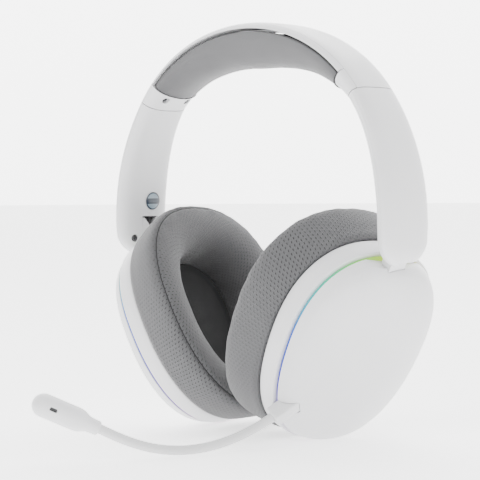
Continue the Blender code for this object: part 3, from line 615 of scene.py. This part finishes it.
def puffed(coarse, pinned, voxel, most, smaller):
    """Movement that a short cloth simulation under pressure gives a coarse copy of a cushion.

    Returns a function from points to movements, at most `most` mm long."""
    shrink = coarse.modifiers.new("shrink", "DISPLACE")
    shrink.strength = -smaller * MM
    shrink.mid_level = 0.0
    remesh = coarse.modifiers.new("remesh", "REMESH")
    remesh.mode = "VOXEL"
    remesh.voxel_size = voxel * MM
    baked(coarse)
    before = np.array([v.co for v in coarse.data.vertices])
    held = coarse.vertex_groups.new(name="held")
    held.add([int(i) for i in np.nonzero(pinned(before))[0]], 1.0, "REPLACE")
    cloth = coarse.modifiers.new("cloth", "CLOTH")
    cloth.settings.vertex_group_mass = "held"
    cloth.settings.use_pressure = True
    cloth.settings.uniform_pressure_force = 4.0
    cloth.settings.effector_weights.gravity = 0.0
    for number in range(1, 21):
        bpy.context.scene.frame_set(number)
    graph = bpy.context.evaluated_depsgraph_get()
    after = np.array([v.co for v in coarse.evaluated_get(graph).data.vertices])
    bpy.data.objects.remove(coarse)
    bpy.context.scene.frame_set(1)
    moves = after - before
    lengths = np.linalg.norm(moves, axis=1, keepdims=True)
    moves *= np.minimum(1.0, most * MM / np.maximum(lengths, 1e-9))
    tree = KDTree(len(before))
    for i, point in enumerate(before):
        tree.insert(point, i)
    tree.balance()

    def move(points):
        result = np.zeros_like(points)
        for i, point in enumerate(points):
            near = tree.find_n(point, 8)
            weights = np.array([1.0 / (distance + 1.5 * MM) ** 2 for _p, _k, distance in near])
            result[i] = (weights[:, None] * moves[[k for _p, k, _d in near]]).sum(0) / weights.sum()
        return result

    return move


def set_points(obj, points):
    obj.data.vertices.foreach_set("co", np.asarray(points, np.float32).ravel())
    obj.data.update()


def points_of(obj):
    found = np.zeros(len(obj.data.vertices) * 3, np.float32)
    obj.data.vertices.foreach_get("co", found)
    return found.reshape(-1, 3).astype(float)


def normals_of(obj):
    found = np.zeros(len(obj.data.vertices) * 3, np.float32)
    obj.data.vertices.foreach_get("normal", found)
    return found.reshape(-1, 3).astype(float)


def ripples(points, scale, stretch=(1.0, 1.0, 1.0)):
    """Smooth noise at points, about -1 to 1."""
    return np.array([noise.noise(Vector(p * scale * np.array(stretch))) for p in points]) * 1.6


CUSHION_PROFILE = [(-0.4, -0.6), (-2.2, -1.7), (-5.0, -2.5), (-9.0, -3.6), (-13.0, -4.4), (-17.0, -4.9),
                   (-19.8, -4.5), (-21.3, -3.2), (-22.2, -1.2), (-22.7, 2.2), (-22.4, 5.8),
                   (-21.3, 9.2), (-19.3, 12.0), (-16.0, 14.3), (-11.5, 15.8), (-6.0, 16.6),
                   (-2.0, 16.8), (-0.4, 16.6)]
SEAM_SPAN, PROFILE_STEPS, CUSHION_STATIONS = 7, 5, 288


def build_cushion(side):
    """Foam ear cushion in sports mesh, sewn along its front edge."""
    word = WORDS[side]
    coarse = grid("coarse", cup_rows(curve_through(CUSHION_PROFILE, 2), 72), CUSHION, side, loop=True)
    outward = Vector(CUP_TURN[:, 0] * (side, 1, 1))
    base = Vector(CUP_PLACE * (side, 1, 1))
    move = puffed(coarse, lambda p: (p - np.array(base)) @ np.array(outward) > -3.5 * MM,
                  4.5, 1.1, 0.7)
    profile = curve_through(CUSHION_PROFILE, PROFILE_STEPS)
    rows = np.array(cup_rows(profile, CUSHION_STATIONS))
    round_length = steps(rows[SEAM_SPAN * PROFILE_STEPS])
    repeats = 2 * round(round_length[-1] / SLIT_PITCH[0] / 2)
    across = steps(rows[:, 0])
    cushion = grid("ear_cushion_" + word + "_sewn", rows, CUSHION, side, loop=True,
                   uv=(round_length * repeats * SLIT_PITCH[0] / round_length[-1], across))
    points = points_of(cushion)
    points += move(points)
    set_points(cushion, points)
    out = normals_of(cushion)
    row_of = np.repeat(np.arange(len(rows)), CUSHION_STATIONS)
    from_seam = across[row_of] - across[SEAM_SPAN * PROFILE_STEPS]
    inner = np.clip((across[row_of] - across[10 * PROFILE_STEPS]) / 12.0, 0, 1)
    inner *= row_of < len(rows) - 2
    groove = -0.75 * np.exp(-(from_seam / 0.8) ** 2)
    pucker = ripples(points, 150.0) * 0.16 + ripples(points, 62.0) * 0.32
    gathers = ripples(points, 210.0) * 0.22 * np.exp(-(from_seam / 4.0) ** 2)
    set_points(cushion, points + out * ((groove + pucker * inner + gathers) * MM)[:, None])
    shown_as(cushion, "cup_" + word, "mesh_fabric", "ear_cushion_" + word)

    line = points_of(cushion).reshape(len(rows), CUSHION_STATIONS, 3)[SEAM_SPAN * PROFILE_STEPS]
    line = line * (side, 1, 1) + (out * (side, 1, 1)).reshape(len(rows), CUSHION_STATIONS, 3)[
        SEAM_SPAN * PROFILE_STEPS] * 0.08 * MM
    # A thin dark tube along the seam line; its dark colour paints the shade in the seam's crease.
    seam = tube("cushion_seam_" + word, line, 0.26, SEAM_PAINTED_SHADE, side, closed=True, segments=8)
    shown_as(seam, "cup_" + word, "speaker_cloth")
    return cushion


def build_speaker_cloth(side):
    """Dark acoustic cloth over the driver, slightly domed, with a raised hem."""
    word = WORDS[side]
    rows = cup_rows([(-0.3, 17.6), (-0.35, 17.3), (-0.85, 17.25), (-1.05, 17.9), (-1.0, 19.0),
                     (-0.75, 20.0), (-0.75, 21.5), (-0.95, 25.0), (-1.15, 29.0)], 128)
    middle = rows[-1].mean(0)
    for share, x in ((0.6, -0.15), (0.3, -0.22), (0.08, -0.24)):
        rows.append(middle + (rows[8] - middle) * share + CUP_TURN[:, 0] * x * MM)
    lengths = steps([r[0] for r in rows], closed=False)
    return grid("speaker_cloth_" + word + "_stretched", rows, CLOTH, side,
                uv=(steps(rows[0]), lengths))


def pad_depth(t):
    share = abs(math.pi / 2 - t) / (math.pi / 2 - PAD_END_T)
    return PAD_MID_DEPTH - PAD_DEPTH_LOSS * share ** 1.5


def pad_section(t, count=41):
    half_width = BAND_HALF_WIDTH - 0.5
    drop = pad_depth(t) - PAD_TOP_DEPTH
    return [(half_width * math.cos(a), PAD_TOP_DEPTH + drop * max(math.sin(a), 0.0) ** 0.9)
            for a in np.linspace(0, math.pi, count)]


def build_pad():
    """Headband pad: one crowned foam pad in a close grey knit, with a dark trim round its edge."""
    ends = PAD_END_T + 0.008, math.pi - PAD_END_T - 0.008
    coarse = sweep("coarse", np.linspace(*ends, 41), lambda t: pad_section(t, 21), PAD)
    arch_centre = np.array((0, 0, -CROWN_TO_ARCH_CENTRE * MM))

    def pinned(points):
        reach = np.hypot(points[:, 0], points[:, 2] - arch_centre[2])
        flank = np.abs(np.arctan2(points[:, 2] - arch_centre[2], points[:, 0]) - math.pi / 2)
        return (reach > 81.5 * MM) | (flank > math.pi / 2 - ends[0] - 0.05)

    move = puffed(coarse, pinned, 4.5, 1.3, 0.9)
    stations = np.linspace(*ends, 150)
    pad = sweep("headband_pad_sewn", stations, pad_section, PAD)
    points = points_of(pad)
    shift = move(points)
    points += shift
    set_points(pad, points)
    out = normals_of(pad)
    section = np.tile(np.arange(41), len(stations))
    edge = np.minimum(section, 40 - section)
    soft = np.clip(edge / 4.0, 0, 1)
    wave = ripples(points, 46.0) * 0.22 + ripples(points, 120.0) * 0.07
    tuck = -0.5 * np.exp(-(edge / 1.6) ** 2)
    set_points(pad, points + out * ((wave * soft + tuck) * MM)[:, None])
    shown_as(pad, "headband", "pad_fabric", "headband_pad")

    front = [arch_place(t, -(BAND_HALF_WIDTH - 0.4), PAD_TOP_DEPTH - 0.1) for t in stations]
    rear = [arch_place(t, BAND_HALF_WIDTH - 0.4, PAD_TOP_DEPTH - 0.1) for t in reversed(stations)]
    left_end = [arch_place(ends[0] - 0.002, y * 1.01, d + 0.2) for y, d in pad_section(ends[0], 25)][1:-1]
    right_end = [arch_place(ends[1] + 0.002, y * 1.01, d + 0.2) for y, d in pad_section(ends[1], 25)][1:-1]
    loop = front + right_end[::-1] + rear + left_end
    trim = tube("headband_pad_trim", loop, 0.2, PAD_TRIM, closed=True, segments=8, normal=(0, 1, 0.001))
    shown_as(trim, "headband", "speaker_cloth")


# ---------------------------------------------------------------- headband and arms


def recess_angle():
    return math.acos(((COVER_HALF_WIDTH + 0.3) / BAND_HALF_WIDTH) ** 2)


def recessed_top(count=8):
    rim = outer_edge(0, recess_angle(), count)
    rim.append((COVER_HALF_WIDTH + 0.12, RECESS_DEPTH))
    return rim + [(-y, depth) for y, depth in reversed(rim)]


def cover_section(_t):
    top = mirrored(outer_edge(recess_angle() + 0.03, math.pi / 2, 14))
    return top + [(-COVER_HALF_WIDTH, COVER_THICKNESS), (COVER_HALF_WIDTH, COVER_THICKNESS)]


def collar_section(t):
    share = max(0.0, (t - SEAM_T) / (PAD_END_T - SEAM_T))
    depth = SEAM_DEPTH + (COLLAR_END_DEPTH - SEAM_DEPTH) * share
    return [(-y, d) for y, d in recessed_top()][1:-1] + mirrored(inner_edge(depth, 16))


def arm_depth(t):
    share = min(1.0, max(0.0, (t - 0.3) / (SEAM_T - 0.3)))
    return ARM_DEPTH + (SEAM_DEPTH - ARM_DEPTH) * share


def arm_taper(t, length):
    share = min(1.0, max(0.0, 1 - (t - ARM_END_T) / length))
    return math.sqrt(max(0.0, 1 - share * share))


def closed_section(depth, count, inset=0.0):
    half = outer_edge(math.pi / 2, 0, count, inset)[:-1] + inner_edge(depth, count, inset)
    return half + [(-y, d) for y, d in reversed(half[1:-1])]


def arm_section(t):
    depth = arm_depth(t)
    share = min(1.0, max(0.0, (SEAM_T - t) / (SEAM_T - ARM_FLARE_END_T)))
    flare = 1 + ARM_FLARE * share * share * (3 - 2 * share)
    width, thickness = arm_taper(t, WIDTH_TAPER) * flare, arm_taper(t, THICKNESS_TAPER)
    return [(y * width, depth / 2 + (d - depth / 2) * thickness) for y, d in closed_section(depth, 14)]


def strip_box(start, end, half_width, half_thickness, side):
    axes = (arch_tangent(SEAM_T), (0, 1, 0), arch_inward(SEAM_T))
    middle = arch_place(SEAM_T, 0.0, STRIP_DEPTH) + axes[0] * (start + end) / 2 * MM
    return block("strip_room", middle, axes, ((end - start) / 2, half_width, half_thickness), side=side)


def screw_hole(head, axis, side):
    profile = [(-5.0, 1.8), (1.6, 1.8), (2.0, 1.1), (5.5, 1.1)]
    return turned("hole", head, axis, profile, side=side, segments=32)


def cross_screw(name, head, axis, node, body, side):
    """A blackened countersunk screw with a cross recess."""
    profile = [(0.32, 0.01), (0.3, 0.5), (0.08, 1.2), (0.0, 1.42), (0.12, 1.5), (1.3, 1.5), (1.7, 0.8),
               (5.2, 0.8)]
    screw = turned(name, head - Vector(axis) * 0.3 * MM, axis, profile, SCREW, side, segments=40)
    across = Vector(axis).orthogonal().normalized()
    other = Vector(axis).cross(across)
    for one, two in ((across, other), (other, across)):
        slot = block("slot", head, (Vector(axis), one, two), (0.9, 1.0, 0.22), SCREW, side)
        cut(screw, slot)
    shown_as(screw, body, "black_screw", node)


def arm_screw_axis():
    return arch_place(-0.09, -8.1, 7.7), -arch_inward(-0.09)


def build_arm_half(side, keep_outer):
    word = WORDS[side]
    base = "arm_outer_shell_" if keep_outer else "arm_inner_cover_"
    stations = list(np.linspace(SEAM_T - 0.003, 0.0, 40)) + [
        ARM_END_T + WIDTH_TAPER * (1 - math.sin(a)) for a in np.linspace(0.25, math.pi / 2 - 0.09, 22)]
    body = sweep(base + word + "_fine", stations, arm_section, side=side)
    hollow = sweep("hollow", np.linspace(SEAM_T - 0.035, 0.02, 24),
                   lambda t: closed_section(arm_depth(t), 8, ARM_WALL), side=side)
    low, high = (BAND_EDGE_DEPTH - 0.05, 20) if keep_outer else (-6, BAND_EDGE_DEPTH + 0.05)
    beyond = sweep("beyond", np.linspace(SEAM_T + 0.05, ARM_END_T - 0.06, 40),
                   lambda _t: [(18, low), (-18, low), (-18, high), (18, high)], side=side)
    axes = ((1, 0, 0), (0, 1, 0), (0, 0, 1))
    channel = block("channel", Vector((CHANNEL_OUTER_X - 10, 1.5, CHANNEL_TOP - 12)) * MM, axes,
                    (10, 5.1, 12), side=side)
    cut(body, hollow)
    cut(body, beyond)
    cut(body, channel)
    if not keep_outer:
        cut(body, strip_box(-10, 3, 4.6, 0.8, side))
        pin_start = PIVOT - Vector((0, 8.3 * MM, 0))
        cut(body, turned("pin_hole", pin_start, (0, 1, 0), [(0, 1.4), (16.6, 1.4)], side=side))
        cut(body, screw_hole(*arm_screw_axis(), side))
    shown_as(body, "arm_" + word, "white_plastic", base + word)


def build_collar(side):
    word = WORDS[side]
    collar = sweep("collar_" + word + "_fine", np.linspace(SEAM_T + 0.003, PAD_END_T - 0.002, 14),
                   collar_section, side=side)
    cut(collar, strip_box(-3, 17, 4.6, 0.8, side))
    for place, y in (("front", -6.7), ("rear", 6.7)):
        head, axis = arch_place(0.815, y, 8.4), -arch_inward(0.815)
        cut(collar, screw_hole(head, axis, side))
        name = f"collar_screw_{place}_{word}"
        cross_screw(name + "_fine", head, axis, name, "headband", side)
    shown_as(collar, "headband", "white_plastic", "collar_" + word)


def build_headband():
    band = sweep("headband_frame_fine", np.linspace(PAD_END_T + 0.003, math.pi - PAD_END_T - 0.003, 120),
                 lambda _t: recessed_top())
    shown_as(band, "headband", "white_plastic", "headband_frame")
    cover = sweep("headband_top_cover_fine", np.linspace(SEAM_T + 0.003, math.pi - SEAM_T - 0.003, 140),
                  cover_section)
    shown_as(cover, "headband", "white_plastic", "headband_top_cover")
    for side in (LEFT, RIGHT):
        build_collar(side)
        build_arm_half(side, keep_outer=True)
        build_arm_half(side, keep_outer=False)
        head, axis = arm_screw_axis()
        cross_screw(f"arm_screw_{WORDS[side]}_fine", head, axis, "arm_screw_" + WORDS[side],
                    "arm_" + WORDS[side], side)
    build_pad()


# ---------------------------------------------------------------- cups


SHELL_PROFILE = [(10.6, 3.2), (10.62, 2.45), (10.9, 2.15), (13.0, 2.9), (15.5, 4.3), (17.7, 6.6),
                 (19.4, 10.0), (20.6, 14.5), (21.3, 20.0), (21.5, 25.0), (21.55, 31.0), (21.56, 37.0)]
SHELL_HOLLOW = [(9.0, 4.0), (13.0, 4.7), (15.1, 6.3), (17.0, 9.0), (18.5, 13.0), (19.4, 18.0), (19.7, 24.0)]
RING_PROFILE = [(0.3, 1.0), (0.32, 0.55), (0.6, 0.2), (1.1, 0.02), (4.5, 0.4), (7.6, 0.8), (8.4, 0.92),
                (8.8, 1.05), (8.97, 1.2), (9.05, 1.5), (9.05, 6.0), (7.6, 6.0), (7.6, 3.4), (0.3, 2.8)]


def neck_block(top, bottom, half_thickness, half_width, side):
    tilt = Matrix.Rotation(math.radians(27.0), 3, "Y")
    axes = (tilt @ Vector((1, 0, 0)), Vector((0, 1, 0)), tilt @ UP)
    return block("neck_way", PIVOT + axes[2] * (top + bottom) / 2 * MM, axes,
                 (half_thickness, half_width, (top - bottom) / 2), side=side)


def plug_axes():
    out, face = cup_axis(*PLUG_DIRECTION), cup_axis(1, 0, 0)
    return out, face


def build_cup(side):
    word = WORDS[side]
    body = "cup_" + word
    outer = np.concatenate([SHELL_PROFILE[:2], curve_through(SHELL_PROFILE[2:], 4)])
    shell = grid(f"cup_shell_{word}_fine", cup_rows(outer), WHITE, side)
    hollow = cut(grid("hollow", cup_rows(SHELL_HOLLOW, 80), WHITE, side),
                 pivot_cylinder(SADDLE_RADIUS + SADDLE_WALL, 16, side))
    cut(shell, hollow, pivot_cylinder(SADDLE_RADIUS, 17.5, side),
        neck_block(-7, -19, 2.9, 5.1, side))
    ring = grid(f"cup_ring_{word}_fine", cup_rows(RING_PROFILE), WHITE, side, loop=True)
    strip = grid(f"light_ring_{word}_fine",
                 cup_rows([(9.7, 3.3), (9.7, 2.6), (9.8, 2.4), (10.45, 2.25), (10.58, 2.4),
                           (10.58, 5.2), (9.7, 5.2)], 200), LIGHT, side, loop=True)
    shown_as(strip, body, "light_guide", "light_ring_" + word)
    # A dark band in the gap between the ring and the light strip: painted shade for the gap's shadow.
    gap_shade_band = grid(f"groove_painted_shade_{word}", cup_rows([(9.1, 5.6), (9.1, 3.4), (9.65, 3.4), (9.65, 5.6)]),
                 DARK, side, loop=True)
    shown_as(gap_shade_band, body, "dark_plastic")
    if side == LEFT:
        build_controls(ring)
        out, face = plug_axes()
        mouth = CUP @ PLUG_MOUTH
        way = rounded_bar("plug_way", mouth, out, face, (4.25, 3.05), 0.9, [(-2.7, 1), (20, 1)])
        cut(shell, way)
        direction = cup_axis(0, 0.62, -0.78)
        start = cup_place(13.6, 21.8, -35.0) - direction * 6.5 * MM
        cut(shell, rounded_bar("usb_way", start, direction, face, (1.9, 4.8), 1.8, [(-6, 1), (20, 1)]))
    shown_as(shell, body, "white_plastic", "cup_shell_" + word)
    shown_as(ring, body, "white_plastic", "cup_ring_" + word)
    cloth = build_speaker_cloth(side)
    shown_as(cloth, body, "speaker_cloth", "speaker_cloth_" + word)
    build_cushion(side)


def build_controls(ring):
    """Openings of the buttons and the wheel, and a knurled wheel."""
    for height in (-16, -6):
        place, outward = rim_point(height, 5.0)
        cut(ring, turned("button_way", place, outward, [(-2, 2.45), (8, 2.45)], segments=40))
    place, _outward = rim_point(7, 4.8)
    axis = cup_axis(1, 0, 0)
    cut(ring, turned("wheel_way", place - axis * 1.6 * MM, axis, [(0, 5.9), (3.2, 5.9)], segments=64))
    wheel = turned("volume_wheel_knurled", place - axis * 1.3 * MM, axis,
                   [(0, 4.9), (0.02, 5.15), (0.35, 5.6), (1.3, 5.62), (2.25, 5.6), (2.58, 5.15), (2.6, 4.9)],
                   DARK, segments=216, wave=lambda a: 1 - 0.035 * (0.5 + 0.5 * math.cos(36 * a)) ** 2)
    shown_as(wheel, "volume_wheel", "dark_plastic", "volume_wheel")


# ---------------------------------------------------------------- microphone


def boom_line(count):
    """Centre line of the gooseneck."""
    start = CUP @ PLUG_MOUTH + plug_axes()[0] * (PLUG_OUTSIDE + 0.3) * MM
    a, b = BOOM_START_HANDLE, BOOM_END_HANDLE
    corners = [(0.0, 0.0), a, (BOOM_REACH - b[0], BOOM_RISE - b[1]), (BOOM_REACH, BOOM_RISE)]
    points = []
    for u in np.linspace(0, 1, count):
        weights = ((1 - u) ** 3, 3 * u * (1 - u) ** 2, 3 * u * u * (1 - u), u ** 3)
        reach = sum(w * c[0] for w, c in zip(weights, corners))
        rise = sum(w * c[1] for w, c in zip(weights, corners))
        points.append(start + BOOM_HEADING * reach * MM + UP * rise * MM)
    return points


def build_microphone():
    out, face = plug_axes()
    mouth = CUP @ PLUG_MOUTH
    line = boom_line(30)
    bend, sideways = line[15], BOOM_HEADING.cross(UP)
    end_along = (line[-1] - line[-2]).normalized()

    fine = boom_line(121)
    neck = tube("gooseneck", [fine[0] - out * 0.25 * MM] + fine[1:-1] + [line[-1] + end_along * 0.45 * MM],
                BOOM_RADIUS, SOFT_WHITE, segments=24, normal=sideways)
    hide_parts("boom_root", "boom_tip")
    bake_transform(neck)

    half = (3.95, 2.75)
    plug = rounded_bar("mic_plug_fine", mouth, out, face, half, 0.8,
                       [(-PLUG_INSIDE, 1), (PLUG_OUTSIDE - 0.9, 1), (PLUG_OUTSIDE - 0.55, 0.985),
                        (PLUG_OUTSIDE - 0.25, 0.95), (PLUG_OUTSIDE - 0.08, 0.9), (PLUG_OUTSIDE, 0.84)])
    tongue = rounded_bar("tongue", mouth, out, face, (2.3, 1.0), 0.3, [(-PLUG_INSIDE - 5, 1), (0, 1)])
    cut(plug, tongue, operation="UNION")
    shown_as(plug, "mic_root", "white_plastic", "mic_plug")

    start = line[-1] + end_along * 0.5 * MM
    collar = [(0.0, 2.55), (0.06, 2.85), (0.3, 3.02), (2.6, 3.1), (4.6, 3.25)]
    shoulder = [(5.6, 3.5), (6.6, 4.0), (7.6, 4.45), (8.8, 4.75), (10.5, 4.88), (14.0, 4.9)]
    body = [(20.0, 4.9), (HEAD_LENGTH - HEAD_RADIUS - 1.0, 4.9)]
    cap = [(HEAD_LENGTH - HEAD_RADIUS * (1 - math.sin(a)), HEAD_RADIUS * math.cos(a))
           for a in np.radians([6, 18, 30, 42, 54, 64, 73, 80, 85])]
    profile = np.concatenate([collar[:3], curve_through(collar[2:] + shoulder + body, 4)[1:], cap])
    head = turned("mic_head_fine", start, end_along, profile, WHITE, segments=64)
    port_side = sideways.cross(end_along).normalized().cross(end_along)
    port = start + end_along * HEAD_LENGTH * 0.72 * MM
    slot = rounded_bar("slot", port + port_side * 3.6 * MM, port_side, end_along, (1.7, 0.75), 0.5,
                       [(0, 1), (4, 1)])
    cut(head, slot)
    shown_as(head, "mic_tip", "white_plastic", "mic_head")
    gauze = rounded_bar("mic_gauze", port + port_side * 3.5 * MM, port_side, end_along, (1.68, 0.73), 0.48,
                        [(0, 1), (0.5, 1)], DARK)
    shown_as(gauze, "mic_tip", "dark_plastic", "mic_capsule")


# ---------------------------------------------------------------- small CAD solids


def build_label():
    t, y, radius = 0.13, 2.6, 4.3
    inward = arch_inward(t)
    start = arch_place(t, y, arm_depth(t) + 0.15)
    across, upward = Vector((0, 1, 0)), arch_tangent(t)
    rows, u_v = [], []
    count = 48
    for depth, share in ((0.0, 1.0), (0.16, 1.0), (0.2, 0.985), (0.2, 0.5)):
        turns = [2 * math.pi * i / count for i in range(count)]
        rows.append([start + inward * depth * MM
                     + (across * math.cos(a) + upward * math.sin(a)) * radius * share * MM for a in turns])
        u_v.append([(math.cos(a) * share, math.sin(a) * share) for a in turns])
    label = grid("inspection_label_printed", rows, LABEL, RIGHT)
    flat = np.array(u_v).reshape(-1, 2)
    corner = np.zeros(len(label.data.loops), np.int32)
    label.data.loops.foreach_get("vertex_index", corner)
    label.data.uv_layers["weave"].data.foreach_set("uv", flat[corner].astype(np.float32).ravel())
    shown_as(label, "arm_right", "label", "inspection_label")


def finish_cad_nodes():
    """Materials, and rounded edges where they show, on the CAD solids that stay."""
    looks = {"neck": (WHITE, 0.35), "hinge_pin": (STEEL, 0.1), "slider_strip": (STEEL, 0.15),
             "signal_cable": (CABLE, 0), "baffle": (DARK, 0), "driver": (DARK, 0)}
    for word in WORDS.values():
        for base, (surface, width) in looks.items():
            dress(f"{base}_{word}", surface, width)
    for name, surface, width in (("power_button", WHITE, 0.2), ("mute_button", WHITE, 0.2),
                                 ("usb_port", STEEL, 0.1), ("mic_socket", DARK, 0),
                                 ("main_board", BOARD, 0), ("battery", BATTERY, 0.4),
                                 ("spring_band", STEEL, 0)):
        dress(name, surface, width)


def dress(name, surface, width):
    node = NODES[name]
    if not node.material_slots:
        node.data.materials.append(surface)
    for slot in node.material_slots:
        slot.material = surface
    if width:
        weld = node.modifiers.new("weld", "WELD")
        weld.merge_threshold = 0.005 * MM
        edge_rounded(node, width)


build_headband()
for cup_side in (LEFT, RIGHT):
    build_cup(cup_side)
build_microphone()
build_label()
finish_cad_nodes()


# ---------------------------------------------------------------- studio


def area_light(name, place, target, size, power):
    data = bpy.data.lights.new(name, "AREA")
    data.shape = "DISK"
    data.size = size
    data.energy = power
    lamp = bpy.data.objects.new(name, data)
    lamp.location = place
    lamp.rotation_euler = (Vector(target) - Vector(place)).to_track_quat("-Z", "Y").to_euler()
    bpy.context.scene.collection.objects.link(lamp)


BEHIND_OBJECT = (-0.71, 0.704, 0.0)
FLOOR_RADIUS, FLOOR_GAP = 6.0, 0.0002


def build_floor():
    """Pale floor that gives off a little light, so that it stays close to the surroundings."""
    low, _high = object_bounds()
    top = low.z - FLOOR_GAP
    n = Nodes("studio_floor")
    n.set(Base_Color=n.mix(n.noise(3.0, 2.0), (0.9, 0.9, 0.9), (0.93, 0.93, 0.93)), Roughness=0.7,
          Specular_IOR_Level=0.2, Emission_Color=(1.0, 1.0, 1.0, 1.0), Emission_Strength=1.6)
    turns = np.linspace(0, 2 * math.pi, 64, endpoint=False)
    rows = [[(r * math.cos(a), r * math.sin(a), z) for a in turns]
            for r, z in ((FLOOR_RADIUS, low.z - 0.02), (FLOOR_RADIUS, top), (1.0, top))]
    grid("studio_floor", rows, n.material)


def build_world():
    """White surroundings, brightest behind the object and above it."""
    world = bpy.data.worlds.new("studio")
    bpy.context.scene.world = world
    world.use_nodes = True
    tree = world.node_tree
    direction = tree.nodes.new("ShaderNodeTexCoord").outputs["Generated"]
    toward = tree.nodes.new("ShaderNodeVectorMath")
    toward.operation = "DOT_PRODUCT"
    toward.inputs[1].default_value = BEHIND_OBJECT
    tree.links.new(direction, toward.inputs[0])
    split = tree.nodes.new("ShaderNodeSeparateXYZ")
    tree.links.new(direction, split.inputs[0])
    total = tree.nodes.new("ShaderNodeMath")
    total.operation = "MULTIPLY"
    for slot, value, limits in ((0, toward.outputs["Value"], (0.1, 0.85, 1.1, 6.0)),
                                (1, split.outputs["Z"], (-0.9, 0.9, 0.6, 1.4))):
        ranged = tree.nodes.new("ShaderNodeMapRange")
        ranged.interpolation_type = "SMOOTHSTEP"
        tree.links.new(value, ranged.inputs[0])
        for socket, limit in zip(ranged.inputs[1:5], limits):
            socket.default_value = limit
        tree.links.new(ranged.outputs["Result"], total.inputs[slot])
    tree.nodes["Background"].inputs["Color"].default_value = (1.0, 1.0, 1.0, 1.0)
    tree.links.new(total.outputs[0], tree.nodes["Background"].inputs["Strength"])


def build_lights():
    middle = (0.0, 0.0, -0.09)
    area_light("key", (0.15, -0.9, 0.75), middle, 0.7, 6.0)
    area_light("fill", (1.1, 0.1, 0.35), middle, 0.8, 1.5)
    area_light("top", (0.0, 0.25, 1.0), middle, 0.8, 5.0)


def build_camera():
    data = bpy.data.cameras.new("camera")
    data.sensor_width = 36.0
    data.lens = 116.17
    camera = bpy.data.objects.new("camera", data)
    azimuth, elevation, roll = math.radians(45.17), math.radians(2.32), math.radians(-0.30)
    back = Vector((math.sin(azimuth) * math.cos(elevation), -math.cos(azimuth) * math.cos(elevation),
                   math.sin(elevation)))
    right = Vector((math.cos(azimuth), math.sin(azimuth), 0.0))
    turn = Matrix((right, back.cross(right), back)).transposed() @ Matrix.Rotation(roll, 3, "Z")
    camera.matrix_world = Matrix.Translation((0.48775, -0.49833, -0.0485)) @ turn.to_4x4()
    bpy.context.scene.collection.objects.link(camera)
    bpy.context.scene.camera = camera


build_floor()
build_world()
build_lights()
build_camera()
